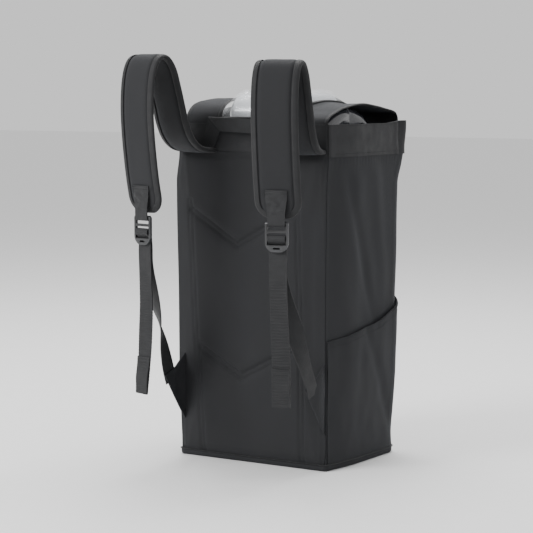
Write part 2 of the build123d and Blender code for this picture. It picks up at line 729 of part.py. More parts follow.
def battery_pieces():
    """Battery pack in the bottom front, and its sliding latch."""
    low, high = BATTERY_LOW, BATTERY_HIGH
    with BuildPart() as battery_pack:
        block(low, high)
        fillet(battery_pack.edges().filter_by(Axis.Z), 6)
        block((-14, high[1] - 16, low[2] - 1), (14, high[1] - 3, low[2] + 7), Mode.SUBTRACT)
    save(battery_pack, "battery_pack")
    latch_back = high[1] - 15
    with BuildPart() as battery_latch:
        block((-13, latch_back, low[2] + 0.4), (13, latch_back + 6, low[2] + 6.5))
        block((-9, latch_back + 2.4, low[2]), (9, latch_back + 3.6, low[2] + 1.8), Mode.SUBTRACT)
    save(battery_latch, "battery_latch")


# ---------------------------------------------------------------- machine internals
CHASSIS_BACK_Y, CHASSIS_FRONT_Y = 1.5, 4.5


def chassis_pieces():
    """Upright chassis plate, the compressor's rubber mounts and the machine's rubber feet."""
    inside = machine_body(MACHINE_WALL)
    with BuildPart() as chassis:
        block((-150, CHASSIS_BACK_Y, 200), (150, CHASSIS_FRONT_Y, 466))
        add(inside, mode=Mode.INTERSECT)
        with BuildSketch(Plane.XZ):
            with Locations(*BOSS_SPOTS):
                Rectangle(24, 11)
        extrude(amount=-20, mode=Mode.SUBTRACT)
        with BuildSketch(Plane.XZ.offset(-10)):
            with Locations((0, 352)):
                with GridLocations(50, 46, 3, 4):
                    Circle(13)
        extrude(amount=20, mode=Mode.SUBTRACT)
        with BuildSketch(Plane.XZ.offset(-CHASSIS_FRONT_Y)):
            with Locations((3, 375)):
                with GridLocations(116, 140, 2, 2):
                    Circle(3)
        extrude(amount=CHASSIS_FRONT_Y - BOARD_BACK_Y)
    save(chassis, "chassis")
    with BuildPart() as rubber_mounts:
        with BuildSketch(Plane.XY.offset(SHELF_HIGH_Z)):
            with GridLocations(150, 80, 2, 2):
                Circle(9)
        extrude(amount=MACHINE_LOW_Z - SHELF_HIGH_Z)
        with BuildSketch(Plane.XY.offset(MACHINE_LOW_Z + MACHINE_WALL)):
            with Locations((SHAFT_X, SHAFT_Y)):
                with GridLocations(36, 36, 2, 2):
                    Circle(6)
        extrude(amount=MOTOR_LOW_Z - MACHINE_LOW_Z - MACHINE_WALL)
    save(rubber_mounts, "rubber_mounts")


MOTOR_LOW_Z, MOTOR_HIGH_Z, CRANKCASE_HIGH_Z = 226.0, 276.0, 320.0


def shaft_circle(height, radius):
    """Disc on the compressor shaft's axis."""
    with BuildSketch(Plane.XY.offset(height)) as disc:
        with Locations((SHAFT_X, SHAFT_Y)):
            Circle(radius)
    return disc.sketch


def compressor_pieces():
    """Compressor: motor can, crankcase with opposed cylinders, and the turning shaft."""
    with BuildPart() as compressor_motor:
        extrude(shaft_circle(MOTOR_LOW_Z, 30), amount=MOTOR_HIGH_Z - MOTOR_LOW_Z)
        extrude(shaft_circle(MOTOR_LOW_Z + 3, 26), amount=MOTOR_HIGH_Z - MOTOR_LOW_Z, mode=Mode.SUBTRACT)
        with BuildSketch(Plane.XY.offset(MOTOR_LOW_Z + 8)):
            with Locations((SHAFT_X, SHAFT_Y)):
                Circle(26)
                Circle(17, mode=Mode.SUBTRACT)
                with PolarLocations(20, 6):
                    Rectangle(8, 3, mode=Mode.SUBTRACT)
        extrude(amount=34)
    save(compressor_motor, "compressor_motor")
    with BuildPart() as crankcase:
        with BuildSketch(Plane.XY.offset(MOTOR_HIGH_Z)):
            with Locations((SHAFT_X, SHAFT_Y)):
                RectangleRounded(64, 62, 10)
        extrude(amount=CRANKCASE_HIGH_Z - MOTOR_HIGH_Z)
        hollow = CRANKCASE_HIGH_Z - MOTOR_HIGH_Z - 10
        extrude(shaft_circle(MOTOR_HIGH_Z + 5, 27), amount=hollow, mode=Mode.SUBTRACT)
        extrude(shaft_circle(MOTOR_HIGH_Z - 1, SHAFT_RADIUS + RUNNING_GAP), amount=60, mode=Mode.SUBTRACT)
    save(crankcase, "crankcase")
    with BuildPart() as cylinder_heads:
        for side in (-1, 1):
            with BuildSketch(Plane.YZ.offset(side * 32)):
                with Locations((SHAFT_Y, 298)):
                    Circle(17)
            extrude(amount=side * 12)
            with BuildSketch(Plane.YZ.offset(side * 44)):
                with Locations((SHAFT_Y, 298)):
                    RectangleRounded(36, 36, 5)
            extrude(amount=side * 7)
    save(cylinder_heads, "cylinder_heads")
    with BuildPart() as crankshaft:
        shaft_low = MOTOR_LOW_Z + 4
        extrude(shaft_circle(shaft_low, SHAFT_RADIUS), amount=CRANKCASE_HIGH_Z + 16 - shaft_low)
        extrude(shaft_circle(MOTOR_LOW_Z + 10, 16), amount=30)
        extrude(shaft_circle(288, 17), amount=14)
        with BuildSketch(Plane.XY.offset(CRANKCASE_HIGH_Z + 4)):
            with Locations((SHAFT_X, SHAFT_Y)):
                Circle(9)
                with PolarLocations(17, 9):
                    Rectangle(20, 1.6)
        extrude(amount=10)
    save(crankshaft, "crankshaft")


def vessel(x, y, low, high, radius):
    """Upright pressure vessel with rounded ends and a stub on its top."""
    with BuildPart() as tank:
        with BuildSketch(Plane.XY.offset(low)):
            with Locations((x, y)):
                Circle(radius)
        extrude(amount=high - low)
        fillet(tank.edges().filter_by(GeomType.CIRCLE), 4)
        with BuildSketch(Plane.XY.offset(high)):
            with Locations((x, y)):
                Circle(4)
        extrude(amount=10)
    return tank


BOARD_BACK_Y, BOARD_FRONT_Y = 16.0, 17.6


def gas_pieces():
    """Sieve beds, product tank, valve block with its solenoids, filters and tubes."""
    save_both(vessel(74, -48, 250, 430, 20), "sieve_beds")
    save(vessel(0, -44, 352, 430, 25), "product_tank")
    with BuildPart() as valve_manifold:
        block((-82, -66, 436), (82, -24, 452))
        block((-60, -24, 442), (60, CHASSIS_BACK_Y, 446))
        with BuildSketch(Plane.XY.offset(430)):
            with Locations((-74, -48), (74, -48), (0, -44)):
                Circle(4)
        extrude(amount=10, mode=Mode.SUBTRACT)
    save(valve_manifold, "valve_manifold")
    with BuildPart() as solenoid_valves:
        with BuildSketch(Plane.XY.offset(452)):
            with Locations((0, -46)):
                with GridLocations(34, 1, 4, 1):
                    RectangleRounded(20, 16, 2)
        extrude(amount=20)
    save(solenoid_valves, "solenoid_valves")
    with BuildPart() as intake_filter:
        with BuildSketch(Plane.XY.offset(334)):
            with Locations((84, 34)):
                Circle(13)
        extrude(amount=66)
        block((80, CHASSIS_FRONT_Y, 360), (88, 24, 372))
        with BuildSketch(Plane.XY.offset(400)):
            with Locations((84, 34)):
                Circle(4)
        extrude(amount=12)
    save(intake_filter, "intake_filter")
    with BuildPart() as exhaust_muffler:
        block((71, CHASSIS_FRONT_Y, 296), (97, 52, 324))
        fillet(exhaust_muffler.edges().filter_by(Axis.Z).group_by(Axis.Y)[-1], 6)
    save(exhaust_muffler, "exhaust_muffler")
    with BuildPart() as air_tubes:
        turn = SHAFT_Y
        runs = [
            [(84, 34, 412), (84, 34, 436), (84, 20, 436), (84, 20, 474), (40, 20, 474), (40, turn, 474),
             (34, turn, 474), (34, turn, 452)],
            [(-34, turn, 452), (-34, turn, 480), (NOZZLE_X, turn, 480), (NOZZLE_X, NOZZLE_Y, 480),
             (NOZZLE_X, NOZZLE_Y, NOZZLE_SEAT_Z - 14)],
        ]
        for run in runs:
            with BuildLine() as route:
                FilletPolyline(*run, radius=2.9)
            with BuildSketch(Plane(origin=route.line @ 0, z_dir=route.line % 0)):
                Circle(2.5)
            sweep(path=route.line)
    save(air_tubes, "air_tubes")


def electronics_pieces():
    """Main board with its parts, and the axial cooling fan in its frame."""
    front = BOARD_FRONT_Y
    with BuildPart() as main_board:
        block((-62, BOARD_BACK_Y, 298), (68, front, 452))
        block((-50, front, 312), (-20, front + 11, 350))
        block((-10, front, 320), (24, front + 6, 346))
        block((-52, front, 380), (-24, front + 18, 404))
        with BuildSketch(Plane.XZ.offset(-front)):
            with Locations((20, 390)):
                with GridLocations(22, 1, 3, 1):
                    Circle(7)
        extrude(amount=-16)
    save(main_board, "main_board")

    x, y, z = FAN_CENTRE
    with BuildPart() as fan_frame:
        with BuildSketch(Plane.YZ.offset(x - 10)):
            with Locations((y, z)):
                RectangleRounded(FAN_SIZE, FAN_SIZE, 4)
                Circle(27.5, mode=Mode.SUBTRACT)
                with GridLocations(49, 49, 2, 2):
                    Circle(2.2, mode=Mode.SUBTRACT)
        extrude(amount=20)
        with BuildSketch(Plane.YZ.offset(x - 10)):
            with Locations((y, z)):
                Circle(12)
                with PolarLocations(20, 3):
                    Rectangle(20, 3)
        extrude(amount=2)
        with BuildSketch(Plane.YZ.offset(x - 8)):
            with Locations((y, z)):
                Circle(3)
        extrude(amount=12)
    save(fan_frame, "fan_frame")
    with BuildPart() as fan_rotor:
        with BuildSketch(Plane.YZ.offset(x - 7)):
            with Locations((y, z)):
                Circle(12)
        extrude(amount=15)
        for blade in range(7):
            with Locations(Location((x + 0.5, y, z), (360 * blade / 7, 0, 0))):
                with Locations(Location((0, 0, 18.5), (0, 0, 38))):
                    Box(1.4, 15, 15)
        with BuildSketch(Plane.YZ.offset(x - 8)):
            with Locations((y, z)):
                Circle(3 + RUNNING_GAP)
        extrude(amount=12.3, mode=Mode.SUBTRACT)
    save(fan_rotor, "fan_rotor")


os.makedirs("parts", exist_ok=True)
back_panel_pieces()
wall_pieces()
base_pieces()
collar_piece()
side_pocket_pieces()
front_pocket_pieces()
strap_pad_pieces()
ladder_lock_pieces()
adjust_webbing_pieces()
wing_pieces()
grab_handle_pieces()
cover_pieces()
housing_pieces()
pod_pieces()
port_pieces()
battery_pieces()
chassis_pieces()
compressor_pieces()
gas_pieces()
electronics_pieces()
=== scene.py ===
"""Portable oxygen concentrator standing in its carry backpack.

The cloth of the pack, its straps, webbing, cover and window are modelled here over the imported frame,
and the hard parts of the frame get rounded edges and their finishes.  Metres, +Z up, straps on -Y.
"""

import bpy
import json
from functools import partial
from math import cos, exp, floor, pi, radians, sin, sqrt
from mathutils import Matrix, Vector, noise
from mathutils.bvhtree import BVHTree

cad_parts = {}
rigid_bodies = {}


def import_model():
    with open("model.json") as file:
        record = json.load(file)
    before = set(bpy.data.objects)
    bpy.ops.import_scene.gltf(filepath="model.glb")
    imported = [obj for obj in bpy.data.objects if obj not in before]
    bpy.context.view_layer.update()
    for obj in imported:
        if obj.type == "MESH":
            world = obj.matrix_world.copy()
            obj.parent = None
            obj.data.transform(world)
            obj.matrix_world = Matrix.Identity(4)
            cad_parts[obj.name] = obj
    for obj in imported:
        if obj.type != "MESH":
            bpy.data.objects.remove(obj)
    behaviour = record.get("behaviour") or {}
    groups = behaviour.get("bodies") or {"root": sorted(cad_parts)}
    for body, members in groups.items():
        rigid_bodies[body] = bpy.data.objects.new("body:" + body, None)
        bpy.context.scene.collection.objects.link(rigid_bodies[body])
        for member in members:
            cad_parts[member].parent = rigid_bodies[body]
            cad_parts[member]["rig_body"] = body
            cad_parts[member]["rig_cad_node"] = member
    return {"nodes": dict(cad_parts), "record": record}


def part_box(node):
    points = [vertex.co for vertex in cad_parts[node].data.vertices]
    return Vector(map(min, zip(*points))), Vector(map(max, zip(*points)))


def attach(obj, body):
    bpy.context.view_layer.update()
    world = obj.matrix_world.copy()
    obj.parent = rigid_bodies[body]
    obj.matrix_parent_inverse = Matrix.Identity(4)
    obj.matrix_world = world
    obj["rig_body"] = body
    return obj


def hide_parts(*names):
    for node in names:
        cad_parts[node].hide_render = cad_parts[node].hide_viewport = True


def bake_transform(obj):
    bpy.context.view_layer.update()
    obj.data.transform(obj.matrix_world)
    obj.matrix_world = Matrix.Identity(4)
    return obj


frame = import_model()
nodes = frame["nodes"]
joints = {joint["name"]: joint for joint in frame["record"]["behaviour"]["joints"]}
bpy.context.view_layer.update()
MM = 0.001
PACK = "pack_and_machine"

# ---------------------------------------------------------------- places taken from the frame
collar_low, collar_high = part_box("collar_band")
base_low, base_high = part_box("bottom_panel")
BACK_Y = base_low.y
SEAM_Z, COLLAR_TOP_Z = collar_low.z, collar_high.z
BASE_HALF, MOUTH_HALF = base_high.x, collar_high.x
BASE_FRONT, MOUTH_FRONT = base_high.y, collar_high.y
CORNER_RADIUS = 25 * MM

lock_joint = joints["right_lock_tilt"]
STRAP_SIDE = -Vector(lock_joint["axis"])  # across the right strap
STRAP_OUT = Vector((STRAP_SIDE.y, -STRAP_SIDE.x, 0))  # away from the wearer's back
LOCK_OUT = 110.5 * MM
LOCK_AXIS = Vector(lock_joint["pos_m"])
STRAP_ORIGIN = Vector((LOCK_AXIS.x, LOCK_AXIS.y, 0)) - STRAP_OUT * LOCK_OUT


# ---------------------------------------------------------------- camera, light and floor
def aim(thing, target):
    """Turn a camera or light towards a point."""
    way = Vector(target) - thing.location
    thing.rotation_euler = way.to_track_quat("-Z", "Y").to_euler()


def set_camera():
    """Long lens, a little to the right of the straps and slightly above the middle."""
    azimuth, height_angle, distance = radians(32.3), radians(5.7), 2.71
    target = Vector((0, 0, 0.268))
    bpy.ops.object.camera_add()
    camera = bpy.context.object
    camera.location = target + distance * Vector((
        sin(azimuth) * cos(height_angle), -cos(azimuth) * cos(height_angle), sin(height_angle)
    ))
    aim(camera, target)
    camera.data.sensor_width = 36
    camera.data.lens = 125.3
    camera.data.shift_x = -0.0403
    camera.data.shift_y = 0.0084
    camera.data.clip_end = 50
    bpy.context.scene.camera = camera


def add_softbox(name, place, target, size, power):
    """Rectangular studio light aimed at a point."""
    bpy.ops.object.light_add(type="AREA", location=place)
    light = bpy.context.object
    light.name = name
    light.data.shape = "RECTANGLE"
    light.data.size, light.data.size_y = size
    light.data.energy = power
    aim(light, target)


def set_studio():
    """Pale floor, an even bright surround and three large softboxes."""
    world = bpy.data.worlds.new("studio")
    world.use_nodes = True
    surround = world.node_tree.nodes["Background"].inputs
    surround["Color"].default_value = (1, 1, 1, 1)
    surround["Strength"].default_value = 0.88
    bpy.context.scene.world = world
    add_softbox("key_light", (-1.3, -2.6, 1.9), (0, 0, 0.3), (1.4, 1.4), 92)
    add_softbox("side_light", (2.6, -0.9, 1.2), (0, 0, 0.3), (0.8, 1.8), 2)
    add_softbox("top_light", (-0.3, 0.8, 2.4), (0, 0, 0.4), (1.8, 1.2), 62)
    bpy.ops.object.select_all(action="DESELECT")
    bpy.ops.mesh.primitive_plane_add(size=30, location=(0, 0, base_low.z - 0.0002))
    floor_plane = bpy.context.object
    floor_plane.name = "studio_floor"
    floor_plane.data.materials.append(floor_material())


# ---------------------------------------------------------------- shader node groups
def new_group(name, numbers, outputs):
    """Empty shader node group with a place input: the group, what it is given and what it gives."""
    group = bpy.data.node_groups.new(name, "ShaderNodeTree")
    group.interface.new_socket(name="Place", in_out="INPUT", socket_type="NodeSocketVector")
    for label, value in numbers.items():
        socket = group.interface.new_socket(name=label, in_out="INPUT", socket_type="NodeSocketFloat")
        socket.default_value = value
    for label in outputs:
        group.interface.new_socket(name=label, in_out="OUTPUT", socket_type="NodeSocketFloat")
    return group, group.nodes.new("NodeGroupInput").outputs, group.nodes.new("NodeGroupOutput").inputs


def feed(tree, value, socket):
    """Join a socket, or set a plain number."""
    if isinstance(value, bpy.types.NodeSocket):
        tree.links.new(value, socket)
    else:
        socket.default_value = value


def maths(tree, operation, first, second=0.0):
    """Math node; its inputs are numbers or sockets."""
    node = tree.nodes.new("ShaderNodeMath")
    node.operation = operation
    feed(tree, first, node.inputs[0])
    feed(tree, second, node.inputs[1])
    return node.outputs[0]


def ramp(tree, value, low, high, to_low=0.0, to_high=1.0):
    """Smooth change from one value to another as the input goes from low to high."""
    node = tree.nodes.new("ShaderNodeMapRange")
    node.interpolation_type = "SMOOTHSTEP"
    numbers = {"Value": value, "From Min": low, "From Max": high, "To Min": to_low, "To Max": to_high}
    for label, number in numbers.items():
        feed(tree, number, node.inputs[label])
    return node.outputs["Result"]


def mottle(tree, place, scale, detail=3.0):
    """Noise value at a place."""
    node = tree.nodes.new("ShaderNodeTexNoise")
    for label, value in {"Vector": place, "Scale": scale, "Detail": detail}.items():
        feed(tree, value, node.inputs[label])
    return node.outputs["Fac"]


def split_place(tree, place):
    """The separate parts of a place."""
    node = tree.nodes.new("ShaderNodeSeparateXYZ")
    feed(tree, place, node.inputs[0])
    return node.outputs


def weave_group():
    """Plain weave: crossing threads, with slubs and a slow change of tone across the cloth."""
    group, given, gives = new_group("plain_weave", {"Thread": 0.0008, "Slubs": 0.4}, ("Height", "Tone"))
    work, place = partial(maths, group), given["Place"]
    parts = split_place(group, place)
    turn = work("DIVIDE", 2 * pi, given["Thread"])
    warp, weft = [work("SINE", work("MULTIPLY", parts[axis], turn)) for axis in "XY"]
    crossing = work("MULTIPLY_ADD", work("MULTIPLY", warp, weft), 0.5)
    slub = work("MULTIPLY", mottle(group, place, 420.0, 4.0), given["Slubs"])
    feed(group, work("ADD", crossing, slub), gives["Height"])
    slow = work("MULTIPLY", mottle(group, place, 14.0, 5.0), 0.65)
    quick = work("MULTIPLY", mottle(group, place, 260.0, 2.0), 0.35)
    feed(group, work("ADD", slow, quick), gives["Tone"])
    return group


def rib_group():
    """Webbing: close ribs across its width, broken by a fine lengthwise herringbone."""
    group, given, gives = new_group("webbing_ribs", {"Pitch": 0.0016, "Zigzag": 0.0010}, ("Height", "Tone"))
    work, place, column_width = partial(maths, group), given["Place"], 0.0014
    parts = split_place(group, place)
    column = work("DIVIDE", work("PINGPONG", parts["X"], column_width), column_width)
    along = work("ADD", parts["Y"], work("MULTIPLY", column, given["Zigzag"]))
    turn = work("DIVIDE", 2 * pi, given["Pitch"])
    rib = work("MULTIPLY", work("SINE", work("MULTIPLY", along, turn)), 0.5)
    fibre = work("MULTIPLY", mottle(group, place, 700.0, 2.0), 0.35)
    feed(group, work("ADD", work("ADD", rib, 0.5), fibre), gives["Height"])
    feed(group, mottle(group, place, 60.0, 4.0), gives["Tone"])
    return group


def edge_wear_and_highlight_group():
    """Mask that is 1 on sharp edges and 0 on flats, broken up by noise; it marks both rubbed edges and
    painted edge highlights.
    """
    group, given, gives = new_group("edge_wear_and_highlight", {"Start": 0.505, "Spread": 0.03}, ("Mask",))
    pointed = group.nodes.new("ShaderNodeNewGeometry").outputs["Pointiness"]
    top = maths(group, "ADD", given["Start"], given["Spread"])
    edge = ramp(group, pointed, given["Start"], top)
    patchy = ramp(group, mottle(group, given["Place"], 90.0, 5.0), 0.35, 0.65, 0.4, 1.0)
    feed(group, maths(group, "MULTIPLY", edge, patchy), gives["Mask"])
    return group


def grain_group():
    """Fine moulded or cast grain with a little slow unevenness."""
    group, given, gives = new_group("surface_grain", {"Fineness": 900.0}, ("Height", "Tone"))
    feed(group, mottle(group, given["Place"], given["Fineness"]), gives["Height"])
    feed(group, mottle(group, given["Place"], 35.0, 4.0), gives["Tone"])
    return group


# ---------------------------------------------------------------- materials
class Finish:
    """A material under construction: its tree, its Principled BSDF and where its pattern is read."""

    def __init__(self, name, colour, roughness, use_uv=False, **constants):
        self.material = bpy.data.materials.new(name)
        self.material.use_nodes = True
        self.tree = self.material.node_tree
        self.shader = self.tree.nodes["Principled BSDF"]
        place = self.tree.nodes.new("ShaderNodeTexCoord")
        self.place = place.outputs["UV" if use_uv else "Object"]
        self.colour = colour
        self.shader.inputs["Base Color"].default_value = (*colour, 1)
        self.shader.inputs["Roughness"].default_value = roughness
        for label, value in constants.items():
            self.shader.inputs[label.replace("_", " ")].default_value = value

    def group(self, group, **numbers):
        """Place a node group and set its numbers."""
        node = self.tree.nodes.new("ShaderNodeGroup")
        node.node_tree = group
        self.tree.links.new(self.place, node.inputs["Place"])
        for label, value in numbers.items():
            node.inputs[label].default_value = value
        return node.outputs

    def shade(self, mask, dark, light, over=None):
        """Base colour that goes from dark to light times the colour as the mask goes from 0 to 1."""
        mix = self.tree.nodes.new("ShaderNodeMix")
        mix.data_type = "RGBA"
        feed(self.tree, mask, mix.inputs["Factor"])
        if over is None:
            mix.inputs[6].default_value = (*[part * dark for part in self.colour], 1)
            mix.inputs[7].default_value = (*[part * light for part in self.colour], 1)
        else:
            feed(self.tree, over, mix.inputs[6])
            mix.inputs[7].default_value = (*light, 1)
        feed(self.tree, mix.outputs[2], self.shader.inputs["Base Color"])
        return mix.outputs[2]

    def rough(self, mask, low, high):
        """Roughness that follows a mask."""
        feed(self.tree, ramp(self.tree, mask, 0.2, 0.8, low, high), self.shader.inputs["Roughness"])

    def relief(self, height, strength, distance):
        """Bump from a height."""
        node = self.tree.nodes.new("ShaderNodeBump")
        for label, value in {"Strength": strength, "Distance": distance, "Height": height}.items():
            feed(self.tree, value, node.inputs[label])
        feed(self.tree, node.outputs["Normal"], self.shader.inputs["Normal"])


SHEEN = {"Sheen_Roughness": 0.4, "Specular_IOR_Level": 0.3}  # of every woven finish


def cloth_finish(name, colour, thread, relief=0.35, roughness=0.78):
    """Woven polyester that follows the piece's own UV map, which is in metres."""
    finish = Finish(name, colour, roughness, True, Sheen_Weight=0.07, **SHEEN)
    finish.shader.inputs["Sheen Tint"].default_value = (0.75, 0.8, 0.9, 1)
    weave = finish.group(WEAVE, Thread=thread, Slubs=0.45)
    finish.shade(ramp(finish.tree, weave["Tone"], 0.3, 0.7), 0.82, 1.2)
    finish.rough(weave["Tone"], roughness - 0.08, roughness + 0.08)
    finish.relief(weave["Height"], relief, 0.0003)
    return finish.material


def webbing_finish(name, colour, pitch, relief=0.55):
    """Ribbed webbing with a slight sheen on its ribs; its colour is painted darker in the rib grooves and
    paler on the rib tops, as painted shade and highlight.
    """
    finish = Finish(name, colour, 0.6, True, Sheen_Weight=0.06, **SHEEN)
    ribs = finish.group(RIBS, Pitch=pitch, Zigzag=pitch * 0.6)
    # painted shade in the rib grooves and painted highlight on the rib tops
    finish.shade(ramp(finish.tree, ribs["Height"], 0.15, 1.1), 0.62, 1.35)
    finish.rough(ribs["Tone"], 0.52, 0.68)
    finish.relief(ribs["Height"], relief, 0.0005)
    return finish.material


def moulded_finish(name, colour, roughness, fineness=900.0, relief=0.08, wear_and_highlight_factor=1.5, **constants):
    """Moulded plastic or rubber: fine grain, and edges painted paler, partly as rubbed wear and partly as
    painted highlight.
    """
    finish = Finish(name, colour, roughness, **constants)
    grain = finish.group(GRAIN, Fineness=fineness)
    body = finish.shade(grain["Tone"], 0.9, 1.1)
    # paler edges: partly rubbed wear, partly a painted highlight on the rims
    edges = finish.group(EDGE_WEAR_AND_HIGHLIGHT)
    finish.shade(edges["Mask"], 1, [min(1, part * wear_and_highlight_factor + 0.004) for part in colour], over=body)
    finish.rough(grain["Tone"], max(0.03, roughness - 0.05), roughness + 0.05)
    finish.relief(grain["Height"], relief, 0.0002)
    return finish.material


def metal_finish(name, colour, roughness, fineness=300.0, relief=0.1):
    """Cast, turned or drawn metal."""
    finish = Finish(name, colour, roughness, Metallic=1.0)
    grain = finish.group(GRAIN, Fineness=fineness)
    finish.shade(grain["Tone"], 0.85, 1.1)
    finish.rough(grain["Tone"], roughness - 0.06, roughness + 0.08)
    finish.relief(grain["Height"], relief, 0.0002)
    return finish.material


def film_finish():
    """Clear flexible film: glossy, faintly milky and gently rippled."""
    clear = (0.93, 0.95, 0.97)
    finish = Finish("window_film", clear, 0.06, IOR=1.45, Coat_Weight=0.3, Coat_Roughness=0.04)
    waves = mottle(finish.tree, finish.place, 26.0, 2.0)
    haze = ramp(finish.tree, mottle(finish.tree, finish.place, 60.0, 4.0), 0.3, 0.75, 0.07, 0.20)
    feed(finish.tree, haze, finish.shader.inputs["Alpha"])
    finish.relief(waves, 0.5, 0.006)
    return finish.material


def smoke_finish():
    """Glossy dark smoky plastic of the machine's housing, with a painted pale grey highlight on its edges."""
    finish = Finish("smoke_housing", (0.034, 0.036, 0.044), 0.10, Coat_Weight=0.6, Coat_Roughness=0.05)
    grain = finish.group(GRAIN, Fineness=500.0)
    body = finish.shade(grain["Tone"], 0.8, 1.25)
    edges = finish.group(EDGE_WEAR_AND_HIGHLIGHT, Start=0.52, Spread=0.05)
    # edges painted pale grey: a painted highlight on the glossy housing
    finish.shade(edges["Mask"], 1, (0.30, 0.31, 0.33), over=body)
    finish.rough(grain["Tone"], 0.09, 0.2)
    finish.relief(grain["Height"], 0.03, 0.0004)
    return finish.material


def floor_material():
    """Plain pale floor."""
    finish = Finish("pale_floor", (0.86, 0.86, 0.86), 0.7)
    grain = finish.group(GRAIN, Fineness=8.0)
    finish.shade(grain["Tone"], 0.99, 1.01)
    return finish.material


WEAVE, RIBS, EDGE_WEAR_AND_HIGHLIGHT, GRAIN = weave_group(), rib_group(), edge_wear_and_highlight_group(), grain_group()
PACK_CLOTH = cloth_finish("pack_cloth", (0.0135, 0.0140, 0.0158), 0.0009)
PAD_CLOTH = cloth_finish("pad_cloth", (0.0130, 0.0134, 0.0150), 0.0007)
LINING = cloth_finish("lining_cloth", (0.010, 0.0105, 0.012), 0.0007)
BINDING = webbing_finish("binding_tape", (0.0115, 0.0118, 0.0130), 0.0011, 0.4)
WEBBING = webbing_finish("strap_webbing", (0.0130, 0.0134, 0.0148), 0.0017)
COLLAR_WEBBING = webbing_finish("collar_webbing", (0.0118, 0.0122, 0.0137), 0.0013, 0.4)
THREAD = cloth_finish("stitch_thread", (0.0075, 0.0078, 0.0088), 0.0003)
FILM = film_finish()
SMOKE = smoke_finish()
# the buckle's edges are painted much paler: a painted highlight on the lock's rims, with a little wear
BUCKLE = moulded_finish("buckle_plastic", (0.0045, 0.0048, 0.0056), 0.36, wear_and_highlight_factor=4.0, Coat_Weight=0.25)
SILVER = moulded_finish(
    "silver_pod", (0.66, 0.68, 0.71), 0.2, 500.0, 0.02, 1.2, Metallic=0.45, Coat_Weight=0.8,
)
SLOTS = {
    "pack_cloth": "pack_fabric", "pad_cloth": "pad_fabric", "binding_tape": "webbing",
    "strap_webbing": "webbing", "collar_webbing": "webbing", "window_film": "film",
}


# ---------------------------------------------------------------- modelling helpers
def deselect():
    """Nothing selected, in object mode."""
    if bpy.context.object is not None and bpy.context.object.mode != "OBJECT":
        bpy.ops.object.mode_set(mode="OBJECT")
    bpy.ops.object.select_all(action="DESELECT")


def pick(piece):
    """Select one piece only and make it active."""
    deselect()
    piece.select_set(True)
    bpy.context.view_layer.objects.active = piece


def edit(piece, *acts, whole=True):
    """Mesh operators with their settings, run in edit mode on the whole piece or on what is selected."""
    pick(piece)
    bpy.ops.object.mode_set(mode="EDIT")
    if whole:
        bpy.ops.mesh.select_all(action="SELECT")
    for operator, settings in acts:
        getattr(bpy.ops.mesh, operator)(**settings)
    bpy.ops.object.mode_set(mode="OBJECT")


OUTWARDS = ("normals_make_consistent", {"inside": False})


def modify(piece, kind, **settings):
    """Add a modifier, set it and apply it."""
    pick(piece)
    modifier = piece.modifiers.new(kind.lower(), kind)
    for label, value in settings.items():
        setattr(modifier, label, value)
    bpy.ops.object.modifier_apply(modifier=modifier.name)


def point_outwards(piece):
    """Merge doubles and turn every face outwards."""
    edit(piece, ("remove_doubles", {"threshold": 0.00001}), OUTWARDS)


def dress(piece, name, body, material, stands_for=(), angle=60, slot=None):
    """Name a finished piece and give it its finish, and its body if it has one; its slot is worked out but
    not kept.
    """
    piece.name = piece.data.name = name
    piece.data.materials.clear()
    piece.data.materials.append(material)
    pick(piece)
    bpy.ops.object.shade_smooth_by_angle(angle=radians(angle))
    if body is not None:
        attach(piece, body)
    if stands_for:
        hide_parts(*stands_for)
    slot = slot or SLOTS.get(material.name)
    return piece


def cloth_grid(columns, rows, place, size):
    """Grid of cloth whose points go where place(u, v) says; its UV map is in metres."""
    deselect()
    bpy.ops.mesh.primitive_grid_add(x_subdivisions=columns, y_subdivisions=rows, size=1)
    piece = bpy.context.object
    for vertex in piece.data.vertices:
        vertex.co = place(vertex.co.x + 0.5, vertex.co.y + 0.5)
    for corner in piece.data.uv_layers.active.data:
        corner.uv = (corner.uv.x * size[0], corner.uv.y * size[1])
    return piece


def thicken(piece, thickness, offset=0.0, outer_weights=None):
    """Give a sheet its thickness; weights make it thinner in places."""
    settings = {"thickness": thickness, "offset": offset, "use_even_offset": False}
    if outer_weights is not None:
        group = piece.vertex_groups.new(name="thickness")
        for index, weight in enumerate(outer_weights):
            group.add([index], weight, "REPLACE")
        settings["vertex_group"] = group.name
    modify(piece, "SOLIDIFY", **settings)
    point_outwards(piece)


def cloth(
    name, body, material, counts, size, place, thickness, stands_for=(), offset=0, angle=60, ring=False,
):
    """Sheet of cloth with its thickness, finish and body; a ring is turned outwards first."""
    piece = cloth_grid(*counts, place, size)
    if ring:
        point_outwards(piece)
    thicken(piece, thickness, offset)
    return dress(piece, name, body, material, stands_for, angle)


def step(value, low, high):
    """Smooth step from 0 to 1."""
    t = min(1, max(0, (value - low) / (high - low)))
    return t * t * (3 - 2 * t)


def bump(value, centre, width):
    """Smooth bell of height 1."""
    return exp(-(((value - centre) / width) ** 2))


def ripple(x, y, z=0.0):
    """Smooth noise from -1 to 1."""
    return noise.noise(Vector((x, y, z)))


def at_mm(*spots):
    """Points given in millimetres."""
    return [Vector(spot) * MM for spot in spots]


def runs_of(line):
    """Distance along a line at each of its points."""
    reach = [0.0]
    for a, b in zip(line, line[1:]):
        reach.append(reach[-1] + (b - a).length)
    return reach


